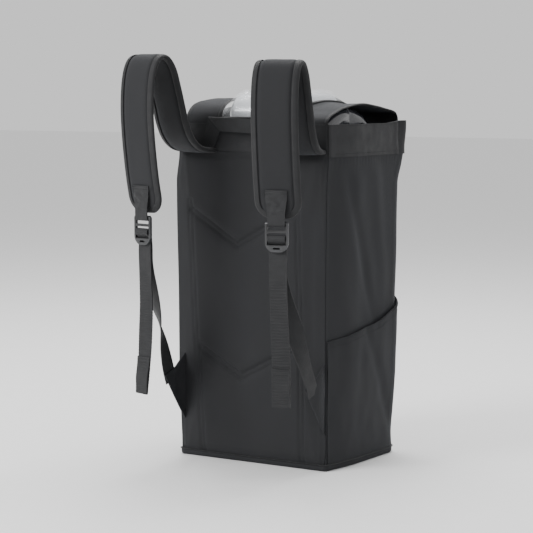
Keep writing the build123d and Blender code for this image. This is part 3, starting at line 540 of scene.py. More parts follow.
class Route:
    """Smooth line through points, read by the distance along it."""

    def __init__(self, points, parts=16):
        self.points = []
        ends = [points[0] * 2 - points[1], *points, points[-1] * 2 - points[-2]]
        for a, b, c, d in zip(ends, ends[1:], ends[2:], ends[3:]):
            for part in range(parts):
                self.points.append(self.blend(a, b, c, d, part / parts))
        self.points.append(points[-1].copy())
        self.reach = runs_of(self.points)
        self.length = self.reach[-1]

    @staticmethod
    def blend(a, b, c, d, t):
        """Cubic between the two middle points that keeps a smooth direction."""
        bend, turn = 2 * a - 5 * b + 4 * c - d, 3 * b - a - 3 * c + d
        return 0.5 * (2 * b + (c - a) * t + bend * t**2 + turn * t**3)

    def at(self, distance):
        """Point and direction at a distance along the line."""
        distance = min(max(distance, 0.0), self.length)
        low, high = 0, len(self.reach) - 1
        while high - low > 1:
            middle = (low + high) // 2
            if self.reach[middle] <= distance:
                low = middle
            else:
                high = middle
        a, b = self.points[low], self.points[high]
        part = (distance - self.reach[low]) / max(1e-9, self.reach[high] - self.reach[low])
        return a.lerp(b, part), (b - a).normalized()


def sew(line, normals, name, body, pitch=3.4 * MM, length=2.3 * MM, radius=0.32 * MM):
    """Run of stitches along a list of points, each a short rounded thread lying on the cloth."""
    if isinstance(normals, Vector):
        normals = [normals] * len(line)
    deselect()
    bpy.ops.mesh.primitive_cylinder_add(vertices=6, radius=radius, depth=length)
    pattern = bpy.context.object
    edit(pattern, ("bevel", {"offset": radius * 0.5, "segments": 1}))
    shape = [vertex.co.copy() for vertex in pattern.data.vertices]
    faces = [tuple(face.vertices) for face in pattern.data.polygons]
    bpy.data.objects.remove(pattern)
    reach = runs_of(line)
    points, polygons, index = [], [], 0
    for count in range(int(reach[-1] / pitch)):
        distance = (count + 0.5) * pitch
        while index < len(reach) - 2 and reach[index + 1] < distance:
            index += 1
        part = (distance - reach[index]) / max(1e-9, reach[index + 1] - reach[index])
        centre = line[index].lerp(line[index + 1], part)
        way = (line[index + 1] - line[index]).normalized()
        up = normals[index].lerp(normals[index + 1], part).normalized()
        across = way.cross(up).normalized()
        start = len(points)
        for corner in shape:
            sunk = radius * 1.6 * (2 * corner.z / length) ** 2
            points.append(centre + across * corner.x + up * (corner.y - sunk + radius * 0.4) + way * corner.z)
        polygons.extend(tuple(start + corner for corner in face) for face in faces)
    mesh = bpy.data.meshes.new(name)
    mesh.from_pydata(points, [], polygons)
    mesh.uv_layers.new()
    piece = bpy.data.objects.new(name, mesh)
    bpy.context.scene.collection.objects.link(piece)
    point_outwards(piece)
    return dress(piece, name, body, THREAD)


def puff(piece, pinned, pressure, most):
    """Blow padding up between its seams: pinned points hold and no point moves further than most."""
    pick(piece)
    before = [vertex.co.copy() for vertex in piece.data.vertices]
    group = piece.vertex_groups.new(name="seams")
    group.add([index for index, point in enumerate(before) if pinned(point)], 1.0, "REPLACE")
    padding = piece.modifiers.new("padding", "CLOTH")
    settings = {
        "quality": 5, "mass": 0.2, "tension_stiffness": 20, "compression_stiffness": 20, "shear_stiffness": 8,
        "bending_stiffness": 0.4, "use_pressure": True, "uniform_pressure_force": pressure,
        "vertex_group_mass": group.name,
    }
    for label, value in settings.items():
        setattr(padding.settings, label, value)
    padding.settings.effector_weights.gravity = 0
    padding.collision_settings.use_collision = False
    for moment in range(1, 21):
        bpy.context.scene.frame_set(moment)
    puffed = piece.evaluated_get(bpy.context.evaluated_depsgraph_get())
    after = [vertex.co.copy() for vertex in puffed.data.vertices]
    piece.modifiers.remove(padding)
    piece.vertex_groups.remove(group)
    for vertex, old, new in zip(piece.data.vertices, before, after):
        way = new - old
        if way.length > most:
            way *= most / way.length
        vertex.co = old + way
    bpy.context.scene.frame_set(1)


def rounded_copy(node, body, material, slot, width):
    """Copy of a hard CAD part with its doubles merged and its edges rounded."""
    piece = nodes[node].copy()
    piece.data = nodes[node].data.copy()
    piece.parent = None
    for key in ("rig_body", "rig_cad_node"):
        if key in piece:
            del piece[key]
    bpy.context.scene.collection.objects.link(piece)
    flat_within = {"angle_limit": radians(2)}
    edit(piece, ("remove_doubles", {"threshold": 0.00002}), ("dissolve_limited", flat_within), OUTWARDS)
    modify(piece, "BEVEL", width=width, segments=2, limit_method="ANGLE", angle_limit=radians(35))
    dress(piece, f"{node}_finished", body, material, (node,), 30, slot)


# ---------------------------------------------------------------- shape of the pack
def flare(z):
    """How far the cloth has opened out towards the stiff collar, 0 to 1."""
    return step(z, SEAM_Z - 46 * MM, SEAM_Z)


def pack_half(z):
    """Half width of the cloth body at a height."""
    return BASE_HALF + (1.2 * MM) * z / SEAM_Z + (MOUTH_HALF - BASE_HALF - 2.4 * MM) * flare(z)


def pack_front(z):
    """How far forward the cloth body reaches at a height."""
    return BASE_FRONT + 5 * MM * z / SEAM_Z + (MOUTH_FRONT - BASE_FRONT - 6.5 * MM) * flare(z)


def follow(distance, point, heading, runs):
    """Point at a distance along straights and arcs, and the normal on the right of the way.

    A run is its length and the radius that it turns on: 0 is straight, and more than 0 turns left.
    """
    normal = Vector((sin(heading), -cos(heading)))
    for length, radius in runs:
        done = min(distance, length)
        if radius:
            centre = point - normal * radius
            heading += done / radius
            normal = Vector((sin(heading), -cos(heading)))
            point = centre + normal * radius
        else:
            point = point + Vector((cos(heading), sin(heading))) * done
        distance -= done
        if distance <= 0:
            break
    return point, normal


def flip(point, normal):
    """The same place on the left."""
    return Vector((-point.x, point.y)), Vector((-normal.x, normal.y))


def outline(part, half, back, front, back_radius=None):
    """Point and outward normal at a part, 0 to 1, of the way round the pack.

    The way goes from one back corner to the other. With back_radius those corners are rounded too, and
    it goes right round from the middle of the back.
    """
    part = part if back_radius is None else part % 1.0
    if part > 0.5:
        return flip(*outline(1 - part, half, back, front, back_radius))
    side = front - back - CORNER_RADIUS
    start, heading = Vector((half, back)), pi / 2
    runs = [(side, 0), (pi / 2 * CORNER_RADIUS, CORNER_RADIUS), (half - CORNER_RADIUS, 0)]
    if back_radius is not None:
        start, heading = Vector((0, back)), 0
        corner = (pi / 2 * back_radius, back_radius)
        runs = [(half - back_radius, 0), corner, (side - back_radius, 0), *runs[1:]]
    return follow(part * 2 * sum(length for length, _ in runs), start, heading, runs)


def swell(point, normal, z):
    """How far the filled pack stands out from its sewn outline at a place."""
    rise, low, high = z / SEAM_Z, BACK_Y - 20 * MM, BACK_Y + 70 * MM
    from_back = step(point.y, low, high) - step(BACK_Y, low, high)
    side = (9 + 6.5 * step(rise, 0.02, 0.35) - 4 * step(rise, 0.9, 1.0) + 2 * step(rise, 1.0, 1.1)) * MM
    front = (4 + 2 * step(rise, 0.02, 0.4) + 3 * step(rise, 0.9, 1.0) + 3 * step(rise, 1.0, 1.1)) * MM
    front *= 1 - step(rise, 0.8, 1.0) * (1 - step(abs(point.x), 106 * MM, 126 * MM))
    return side * max(0, from_back) * abs(normal.x) + front * max(0, normal.y)


def slump(x, z):
    """How far the left side of the pack slumps outwards at a height; the right side is drawn in a little."""
    rise = z / SEAM_Z
    left = (4.5 + 4 * step(rise, 0.02, 0.3) + 2 * step(rise, 0.5, 0.85) - 7 * step(rise, 0.9, 1.0)) * MM
    right = 2.2 * MM * sin(pi * min(1, max(0, rise)))
    return -left * min(1, max(0, -x / BASE_HALF)) - right * min(1, max(0, x / BASE_HALF))


def side_folds(y, z, seed):
    """Soft folds of a side panel, drawn down from the collar and in from its corners."""
    fall = z / SEAM_Z
    folds = 1.5 * MM * ripple(y * 16 + seed, z * 5.5, seed) + 0.7 * MM * ripple(y * 38, z * 15 + seed, 3)
    crease = y + 60 * MM - 0.34 * (SEAM_Z - z)
    folds -= 2.2 * MM * bump(crease, 0, 11 * MM) * step(fall, 0.38, 0.55) * (1 - step(fall, 0.9, 0.99))
    second = y - 20 * MM - 0.16 * (SEAM_Z - z)
    folds += 1.6 * MM * bump(second, 0, 16 * MM) * step(fall, 0.5, 0.7) * (1 - step(fall, 0.92, 1.0))
    return folds - 2.5 * MM * sin(pi * min(1, fall * 1.02)) * bump(y, 10 * MM, 60 * MM)


def body_point(part, z, seed):
    """Place and outward normal on the pack's side and front cloth."""
    point, normal = outline(part, pack_half(z), BACK_Y + 1.5 * MM, pack_front(z))
    held = step(z, base_low.z, 14 * MM) * (1 - step(z, SEAM_Z - 12 * MM, SEAM_Z))
    held *= step(min(part, 1 - part), 0, 0.012)
    on_side = step(abs(normal.x), 0.15, 0.85)
    front = 1.4 * MM * ripple(point.x * 14, z * 6, 7) - 2.5 * MM * bump(point.x, 0, 0.09)
    folds = front + (side_folds(point.y, z, seed) - front) * on_side
    out = swell(point, normal, z) + folds * held
    return point + normal * out + Vector((slump(point.x, z), 0)), normal


def pack_shell():
    """Side and front cloth in one lofted shell that sags between the base and the collar."""
    low, high = base_low.z + 1.2 * MM, SEAM_Z + 3 * MM

    def place(u, v):
        z = low + (high - low) * v
        point, normal = body_point(u, z, 4.0 if u < 0.5 else 9.0)
        gather = 0.3 * MM * sin(u * 520 + 3 * ripple(u * 30, 1))
        gather *= step(v, 0.93, 0.99) * (1 - step(v, 0.985, 1))
        point = point + normal * gather
        return Vector((point.x, point.y, z))

    perimeter = 2 * (BASE_FRONT - BACK_Y) + 2 * BASE_HALF
    panels = ("front_panel", "left_side_panel", "right_side_panel")
    counts, size = (230, 150), (perimeter, high - low)
    piece = cloth("pack_shell", PACK, PACK_CLOTH, counts, size, place, 1.6 * MM, panels, offset=-1)


CHANNELS = [at_mm((-106, 373), (-97, 190), (-84, 10)), at_mm((76, 379), (81, 190), (84, 10))]
CHEVRONS = [at_mm((-102, 359), (-24, 312), (72, 362)), at_mm((-86, 160), (-18, 123), (76, 172))]


def line_distance(point, line):
    """Shortest distance from a point to a bent line."""
    best = 1.0
    for a, b in zip(line, line[1:]):
        run = b - a
        part = min(1, max(0, (point - a).dot(run) / run.length_squared))
        best = min(best, (a + run * part - point).length)
    return best


def quilting(here):
    """Depth of the double-stitched grooves in the back pad at a place."""
    depth = 0.0
    for away in [line_distance(here, line) for line in CHANNELS]:
        depth += 1.5 * MM * bump(away, 3.2 * MM, 1.4 * MM) + 0.9 * MM * bump(away, 0, 4 * MM)
    for away in [line_distance(here, line) for line in CHEVRONS]:
        depth += 2.3 * MM * bump(away, 3.4 * MM, 1.6 * MM) + 2.2 * MM * bump(away, 0, 8 * MM)
    return depth


def back_pad():
    """Padded back panel: blown up between its seams, then quilted with its stitched lines."""
    low, high = base_low.z + 8.5 * MM, SEAM_Z + 2 * MM

    def place(u, v):
        z = low + (high - low) * v
        corner = 1.0 - 2.2 * MM / BASE_HALF * bump(v, 0, 0.03)
        x = (2 * u - 1) * (pack_half(z) - 0.4 * MM) * corner
        edge = min(u, 1 - u) * 2 * BASE_HALF
        return Vector((x + slump(x, z), BACK_Y + 1.2 * MM - 2.4 * MM * step(edge, 0, 9 * MM), z))

    piece = cloth_grid(100, 174, place, (2 * BASE_HALF, high - low))

    def from_edge(x, z):
        return pack_half(z) + abs(slump(x, z)) * (1 if x < 0 else -1) - abs(x)

    def pinned(point):
        side = from_edge(point.x, point.z)
        near_end = min(point.z - low, high - point.z)
        on_channel = min(line_distance(Vector((point.x, point.z)), line) for line in CHANNELS + CHEVRONS)
        return side < 5 * MM or near_end < 3 * MM or on_channel < 2.4 * MM

    puff(piece, pinned, -4.0, 3.5 * MM)
    for vertex in piece.data.vertices:
        x, z = vertex.co.x, vertex.co.z
        side = from_edge(x, z)
        soft = step(side, 0, 16 * MM) * step(z - low, 0, 12 * MM) * step(high - z, 0, 14 * MM)
        loft = 2.4 * MM * soft + 0.8 * MM * ripple(x * 22, z * 13, 2) * soft
        vertex.co.y += -loft + quilting(Vector((x, z))) * step(side, 4 * MM, 10 * MM)
    modify(piece, "SUBSURF", levels=1, render_levels=1)
    thicken(piece, 1.2 * MM, offset=0)
    dress(piece, "back_pad", PACK, PAD_CLOTH, ("back_panel",))
    surface = BVHTree.FromObject(piece, bpy.context.evaluated_depsgraph_get())
    for number, line in enumerate(CHANNELS + CHEVRONS):
        for side in (-1, 1):
            sew_on_back(surface, line, side * 3.2 * MM, f"back_stitches_{number}_{'ab'[side > 0]}")
    sew_on_back(surface, at_mm((-117, 436.5), (117, 436.5)), 0, "back_seam_stitches")


def sew_on_back(surface, line, aside, name):
    """Stitches beside a bent line, dropped onto the outer face of the back pad."""
    points, normals = [], []
    for a, b in zip(line, line[1:]):
        way = (b - a).normalized()
        across = Vector((-way.y, way.x)) * aside
        parts = max(2, int((b - a).length / (6 * MM)))
        for part in range(parts + 1):
            spot = a.lerp(b, part / parts) + across
            behind = Vector((spot.x, BACK_Y - 0.1, spot.y))
            found, normal = surface.ray_cast(behind, Vector((0, 1, 0)))[:2]
            if found is not None:
                points.append(found)
                normals.append(normal)
    if len(points) > 2:
        sew(points, normals, name, PACK, pitch=4.2 * MM, length=2.9 * MM, radius=0.45 * MM)


def base_cloth():
    """Base panel that turns up round the foot of the pack, with piping along its seam."""
    rim, rim_from = 9 * MM, 0.6  # height that it turns up, and the part of the way where that starts
    middle = Vector((0, (BACK_Y + BASE_FRONT) / 2))
    half, back, front = BASE_HALF + 0.4 * MM, BACK_Y - 0.6 * MM, BASE_FRONT + 0.4 * MM

    def place(u, v):
        point, normal = outline(u, half, back, front, 4 * MM)
        point = point + normal * (swell(point, normal, rim) + 1.2 * MM) + Vector((slump(point.x, rim), 0))
        if v < rim_from:
            flat = middle.lerp(point - normal * 2.0 * MM, (v / rim_from) ** 0.8)
            return Vector((flat.x, flat.y, base_low.z))
        up = (v - rim_from) / (1 - rim_from)
        round_off = 2.0 * MM * (1 - sqrt(max(0, 1 - (1 - min(1, up * 2.2)) ** 2)))
        flat = point - normal * (round_off + 0.3 * MM * ripple(u * 40, 1) * up)
        return Vector((flat.x, flat.y, base_low.z + rim * up))

    counts, size = (260, 24), (0.85, 0.12)
    look = {"offset": -1, "angle": 50, "ring": True}
    piece = cloth("base_cloth", PACK, PACK_CLOTH, counts, size, place, 1.2 * MM, ("bottom_panel",), **look)
    parts = 320
    seam = [place(part % parts / parts, 1.0) for part in range(parts + 1)]
    bound_edge(seam, "base_piping", 1.2 * MM, PACK)


def collar():
    """Wide webbing collar right round the mouth, its ends lapped at the right back corner."""
    tall = COLLAR_TOP_Z - SEAM_Z + 3 * MM
    around = 2 * (MOUTH_FRONT - BACK_Y) + 4 * MOUTH_HALF
    back_radius, parts = 5 * MM, 420

    def ring(u, v, grow=0):
        z = SEAM_Z - 3 * MM + tall * v
        half, back, front = MOUTH_HALF - 0.4 * MM, BACK_Y - 1.0 * MM, MOUTH_FRONT - 0.6 * MM
        point, normal = outline(u, half, back, front, back_radius)
        wave = 0.9 * MM * ripple(u * 26, v * 1.2, 5) + 0.5 * MM * ripple(u * 70, v * 2, 8)
        near_front = bump(point.y, MOUTH_FRONT - 22 * MM, 14 * MM) if abs(normal.x) > 0.3 else 0
        fold = 2.6 * MM * near_front * sin(point.y * 330 + 2.0 * v)
        loose = 0.35 + 0.65 * step(v, 0.1, 0.7)
        straight = bump(abs(normal.y), 1, 0.4) if point.y < 0 else 0
        out = (wave + fold) * loose * (1 - 0.8 * straight) + grow + swell(point, normal, z)
        forward = step(point.y, 40 * MM, MOUTH_FRONT - 10 * MM)
        lift = 4.0 * MM * forward * v * step(abs(point.x), 113 * MM, 127 * MM)
        point = point + normal * out
        return Vector((point.x, point.y, z + lift))

    counts, size = (parts, 16), (around, tall)
    look = {"offset": -1, "angle": 50}
    stands_for = ("collar_band",)
    piece = cloth("collar", PACK, COLLAR_WEBBING, counts, size, ring, 2.0 * MM, stands_for, ring=True, **look)

    lap_from, lap_long = MOUTH_HALF - 1 * MM, 13 * MM
    total = around - 2 * (2 - pi / 2) * (back_radius + CORNER_RADIUS)

    def lapped(u, v):
        return ring((lap_from + lap_long * u) / total, v, 2.3 * MM)

    cloth("collar_lap", PACK, COLLAR_WEBBING, (12, 12), (lap_long, tall), lapped, 1.6 * MM, **look)
    normals = []
    for part in range(parts + 1):
        normal = outline(part / parts, MOUTH_HALF, BACK_Y, MOUTH_FRONT, back_radius)[1]
        normals.append(normal.to_3d())
    for height, label in ((0.10, "low"), (0.955, "high")):
        points = [ring(part / parts, height, 0.25 * MM) for part in range(parts + 1)]
        sew(points, normals, f"collar_stitches_{label}", PACK, pitch=3.8 * MM)


# ---------------------------------------------------------------- pockets and wings
MOUTH_LINE = at_mm((-92, 181), (-46, 187), (31, 200), (70, 213), (92, 232))


def mouth_height(y):
    """Height of a side pocket's top edge at a depth."""
    for a, b in zip(MOUTH_LINE, MOUTH_LINE[1:]):
        if y <= b.x:
            part = max(0, (y - a.x) / (b.x - a.x))
            smooth = part + 0.12 * sin(2 * pi * part) * (0 if a.x > 0 else 0.3)
            return a.y + (b.y - a.y) * smooth
    return MOUTH_LINE[-1].y


def side_pocket(label, sign, seed):
    """Flat side pocket with a hemmed mouth that gapes a little and sweeps up towards the front."""
    low, wide = base_low.z + 3 * MM, 249 * MM
    first, reach = 0.004, 0.405  # parts of the way round the pack

    def place(u, v, lift=0.0):
        part = first + reach * u
        depth = outline(part, pack_half(0.1), BACK_Y + 1.5 * MM, pack_front(0.1))[0].y
        z = low + (mouth_height(min(depth, MOUTH_LINE[-1].x)) - low) * v
        body, normal = body_point(part, z, 4.0 if sign > 0 else 9.0)
        gape = 4.5 * MM * sin(pi * min(1, u * 1.06)) ** 2 * step(v, 0.1, 1.0)
        wrinkle = 1.1 * MM * ripple(body.y * 20, z * 9, seed)
        wrinkle += 0.5 * MM * ripple(body.y * 55, z * 30, seed + 2)
        slack = -2.0 * MM * bump(body.y + 0.5 * z, 95 * MM, 12 * MM) * step(z, 0, 0.05)
        body = body + normal * (0.9 * MM + gape + (wrinkle + slack) * step(v, 0, 0.03) + lift)
        return Vector((sign * body.x, body.y, z))

    stands_for = (f"{label}_side_pocket",)
    piece = cloth(f"{label}_pocket", PACK, PACK_CLOTH, (96, 90), (wide, 0.2), place, 1.4 * MM, stands_for)

    def hem(u, v):
        top, inside = place(u, 1.0), place(u, 1.0 - 0.07)
        turn = pi * v
        across = Vector((sign, 0, 0)) if u < 0.86 else Vector((sign * 0.6, 0.8, 0))
        drop = (inside - top) * 0.16 * (1 - sin(turn))
        return top + across * 1.5 * MM * cos(turn) + drop + Vector((0, 0, 0.7 * MM * sin(turn)))

    cloth(f"{label}_pocket_hem", PACK, PACK_CLOTH, (96, 8), (wide, 0.012), hem, 0.8 * MM)
    line = [place(part / 96, 0.952, 1.0 * MM) for part in range(97)]
    sew(line, Vector((sign, 0, 0)), f"{label}_pocket_stitches", PACK)


WING_TOP_Z, WING_LOW_Z = 152 * MM, 50 * MM
WING_EDGE_MIDDLE = (-131 * MM, 127 * MM)  # Y and Z where the strap's webbing runs onto the wing
STRAND_WAY = Vector((0, 0.35, -0.937))  # the webbing's direction there, and the direction across it
STRAND_ACROSS = Vector((0, 0.937, 0.35))


def wing(label, sign):
    """Folded triangle of cloth in the lower side seam, which takes the strap's pull."""
    seam_x = sign * (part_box("wings")[1].x - 1.5 * MM)
    middle = Vector((seam_x, *WING_EDGE_MIDDLE))
    half_edge = STRAND_ACROSS * 13.5 * MM

    def place(u, v):
        seam = Vector((seam_x, BACK_Y + 1.0 * MM, WING_LOW_Z + (WING_TOP_Z - WING_LOW_Z) * v))
        point = seam.lerp(middle + half_edge * (2 * v - 1), u)
        bow = 3.0 * MM * sin(pi * u) * sin(pi * v) + 1.2 * MM * ripple(point.y * 40, point.z * 30, 6)
        return point + Vector((sign * bow, 0, 0))

    stands_for = ("wings",) if label == "right" else ()
    piece = cloth(f"{label}_wing", PACK, PACK_CLOTH, (28, 40), (0.05, 0.1), place, 1.8 * MM, stands_for)
    line = [place(0.9, part / 20) + Vector((sign * 1.0 * MM, 0, 0)) for part in range(21)]
    sew(line, Vector((sign, 0, 0)), f"{label}_wing_stitches", PACK)


# ---------------------------------------------------------------- shoulder straps
PAD_WIDTH, PAD_THICK, TIP_RADIUS, BINDING_WIDTH = 65 * MM, 8.6 * MM, 24 * MM, 8 * MM
WEBBING_WIDE, WEBBING_THICK, SEWN_END = 25 * MM, 1.5 * MM, 15 * MM
PAD_LINES = {
    sign: Route(at_mm(*[(out, up - drop * step(up, 470, 580)) for out, up in (
        (-0.5, 446), (14, 446.8), (30, 451.5), (44, 464), (54, 484), (61, 510), (69, 540), (77, 565),
        (88, 580), (99, 583), (109, 576), (116, 558), (119.5, 530), (120, 495), (117, 455), (111.5, 412),
        (106, 382), (102, 361),
    )]))
    for sign, drop in ((1, 15), (-1, 6))
}


def strap_point(sideways, out, up, sign):
    """Place beside a strap's middle plane, on the right (sign 1) or the left."""
    point = STRAP_ORIGIN + STRAP_SIDE * sideways + STRAP_OUT * out
    return Vector((sign * point.x, point.y, up))


def on_pad(sideways, along, height, sign):
    """Place on a pad: across it, along its middle line and out from its middle surface."""
    (out, up), way = PAD_LINES[sign].at(along)
    return strap_point(sideways, out + way.y * height, up - way.x * height, sign)


def pad_outline_length(reach):
    """Length of the bound outline of a pad of a given reach."""
    return 2 * (reach - TIP_RADIUS) + pi * TIP_RADIUS + PAD_WIDTH - 2 * TIP_RADIUS


def pad_edge(distance, reach):
    """Outline of a pad of a given reach in its own plane: down one edge, round the tip and up the other."""
    whole = pad_outline_length(reach)
    if distance > whole / 2:
        return flip(*pad_edge(whole - distance, reach))
    runs = (reach - TIP_RADIUS, 0), (pi / 2 * TIP_RADIUS, -TIP_RADIUS), (PAD_WIDTH / 2 - TIP_RADIUS, 0)
    return follow(distance, Vector((-PAD_WIDTH / 2, 0)), pi / 2, runs)


HALF_COLUMNS = [0.25, 0.5, 0.66, 0.72, 0.75, 0.78, 0.84, 0.93, 0.985, 1]
PAD_COLUMNS = [-column for column in reversed(HALF_COLUMNS)] + [0] + HALF_COLUMNS


def strap_pad(label, sign):
    """Padded strap: full in its middle, pinched along both stitch lines and rounded at its tip."""
    rows, reach = 170, PAD_LINES[sign].length

    def half_at(along):
        left = reach - along
        if left >= TIP_RADIUS:
            return PAD_WIDTH / 2
        return PAD_WIDTH / 2 - TIP_RADIUS + sqrt(max(0, TIP_RADIUS**2 - (TIP_RADIUS - left) ** 2))

    def place(u, v):
        column = PAD_COLUMNS[round(u * (len(PAD_COLUMNS) - 1))]
        along = reach * v
        sag = 0.6 * MM * ripple(column * 1.3, along * 30, sign * 4) * (1 - column**2)
        return on_pad(column * half_at(along) * 0.985, along, sag, sign)

    piece = cloth_grid(len(PAD_COLUMNS) - 1, rows, place, (PAD_WIDTH, reach))
    weights = []
    for vertex in piece.data.vertices:
        row, index = divmod(vertex.index, len(PAD_COLUMNS))
        column = abs(PAD_COLUMNS[index])
        tip_edge = step((rows - row) / rows * reach, 0, 9 * MM)
        seam = 1 - 0.45 * bump(column, 0.75, 0.045)
        weights.append((0.42 + 0.58 * step(1.02 - column, 0, 0.42)) * seam * (0.45 + 0.55 * tip_edge))
    thicken(piece, PAD_THICK, offset=0, outer_weights=weights)
    modify(piece, "SUBSURF", levels=1, render_levels=1)
    dress(piece, f"{label}_pad", PACK, PAD_CLOTH, (f"{label}_strap_pad",))

    length = pad_outline_length(reach)
    insets = (0.93, 0.55, 0.1, -0.14, 0.1, 0.55, 0.93)
    heights = (0.375, 0.33, 0.27, 0, -0.27, -0.33, -0.375)

    def tape(u, v):
        edge, inward = pad_edge(length * v, reach)
        spot = edge + inward * insets[round(u * 6)] * BINDING_WIDTH
        return on_pad(spot.x, min(spot.y, reach + 1.2 * MM), heights[round(u * 6)] * PAD_THICK, sign)

    binding = cloth_grid(6, 420, tape, (2 * BINDING_WIDTH, length))
    point_outwards(binding)
    thicken(binding, 0.8 * MM, offset=1)
    modify(binding, "SUBSURF", levels=1, render_levels=1)
    dress(binding, f"{label}_pad_binding", PACK, BINDING)

    for face, way in (("outer", 1), ("inner", -1)):
        parts = 300
        points, normals = [], []
        for part in range(parts + 1):
            edge, inward = pad_edge(length * part / parts, reach)
            spot = edge + inward * BINDING_WIDTH * 0.78
            here = on_pad(spot.x, spot.y, way * 0.42 * PAD_THICK, sign)
            above = on_pad(spot.x, spot.y, way * 0.62 * PAD_THICK, sign)
            points.append(here)
            normals.append((above - here).normalized())
        sew(points, normals, f"{label}_pad_stitches_{face}", PACK)


TAB_TOP = 397 * MM


def strap_tab(label, sign):
    """Webbing tab sewn across the pad's lower face, which narrows to the ladder lock's bar."""
    bar_z, bar_reach = LOCK_AXIS.z, 3.2 * MM
    wide_end, narrow_end = 31 * MM, 24.6 * MM
    line = Route([
        *at_mm((113.8, 399), (113.2, 388), (113.6, 374)),
        Vector((LOCK_OUT + bar_reach, bar_z + 3 * MM)),
        Vector((LOCK_OUT + bar_reach * 0.8, bar_z - 2 * MM)),
        Vector((LOCK_OUT, bar_z - bar_reach - 0.2 * MM)),
        Vector((LOCK_OUT - bar_reach * 0.8, bar_z - 2 * MM)),
        Vector((LOCK_OUT - bar_reach, bar_z + 3 * MM)),
    ])

    def place(u, v):
        out, up = line.at(line.length * v)[0]
        wide = wide_end + (narrow_end - wide_end) * step(v, 0.1, 0.62)
        crumple = 1.5 * MM * ripple(u * 3, v * 9, sign * 3)
        crumple *= step(v, 0.02, 0.2) * (1 - step(v, 0.5, 0.62))
        crown = 0.9 * MM * (1 - (2 * u - 1) ** 2) * (1 - step(v, 0.45, 0.6))
        return strap_point((u - 0.5) * wide, out + crumple + crown, up, sign)

    stands_for = ("buckle_loops",) if label == "right" else ()
    size = (27 * MM, line.length)
    cloth(f"{label}_tab", PACK, WEBBING, (18, 60), size, place, 1.6 * MM, stands_for)
    wide = PAD_WIDTH - 2 * BINDING_WIDTH
    for drop in (0, 3):
        up = TAB_TOP - drop * MM
        points = [strap_point((part / 12 - 0.5) * wide, 115.2 * MM, up, sign) for part in range(13)]
        sew(points, strap_normal(sign), f"{label}_tab_stitches_{drop}", PACK)


def strap_normal(sign):
    """Direction away from the wearer's back."""
    return Vector((sign * STRAP_OUT.x, STRAP_OUT.y, 0))


def load_strand(label, sign):
    """Adjusting webbing from the wing up to the lock, turned a quarter on its way."""
    tip = Vector((sign * (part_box("wings")[1].x + 0.5 * MM), *WING_EDGE_MIDDLE))
    sewn_end = tip + STRAND_WAY * SEWN_END
    lock_low = LOCK_AXIS.z - 38 * MM
    top = strap_point(0, LOCK_OUT - 5.6 * MM, lock_low, sign)
    bend = strap_point(0, LOCK_OUT - 8.5 * MM, lock_low - 38 * MM, sign)
    middle = bend.lerp(tip, 0.5) + Vector((0, 3 * MM, -5 * MM))
    low_bend = bend.lerp(tip, 0.86) + Vector((0, 1 * MM, -3 * MM))
    line = Route([top, bend, middle, low_bend, tip, sewn_end])
    across_top = Vector((sign * STRAP_SIDE.x, STRAP_SIDE.y, 0))
    sewn_part = 1 - SEWN_END / line.length

    def place(u, v):
        point, way = line.at(line.length * v)
        turned = across_top.lerp(STRAND_ACROSS, step(v, 0.25, sewn_part)).normalized()
        flat = (turned - way * turned.dot(way)).normalized()
        return point + flat * (u - 0.5) * WEBBING_WIDE

    size = (WEBBING_WIDE, line.length)
    cloth(f"{label}_load_strand", PACK, WEBBING, (10, 90), size, place, WEBBING_THICK)
    for part in (0.25, 0.8):
        v = sewn_part + (1 - sewn_part) * part
        row = [place(0.1 + 0.1 * spot, v) + Vector((sign * 0.8 * MM, 0, 0)) for spot in range(9)]
        sew(row, Vector((sign, 0, 0)), f"{label}_strand_stitches_{round(part * 100)}", PACK)


TAIL_LINES = {
    "right": ((107, 300), (105.5, 247), (107, 196), (109.5, 150), (112, 107)),
    "left": ((107.5, 300), (106, 240), (108.5, 190), (112.5, 150), (117, 107)),
}
TAIL_DRIFT = {"right": 7 * MM, "left": -3 * MM}
THREADED = (  # distance out from the lock's middle, and up from its axis, where the webbing goes through
    (-5.6, -38), (-4.7, -28), (-3.3, -19.5), (0, -15.2), (3.2, -17.5), (3.2, -22), (0, -25.2),
    (-2.9, -30), (-3.1, -42),
)


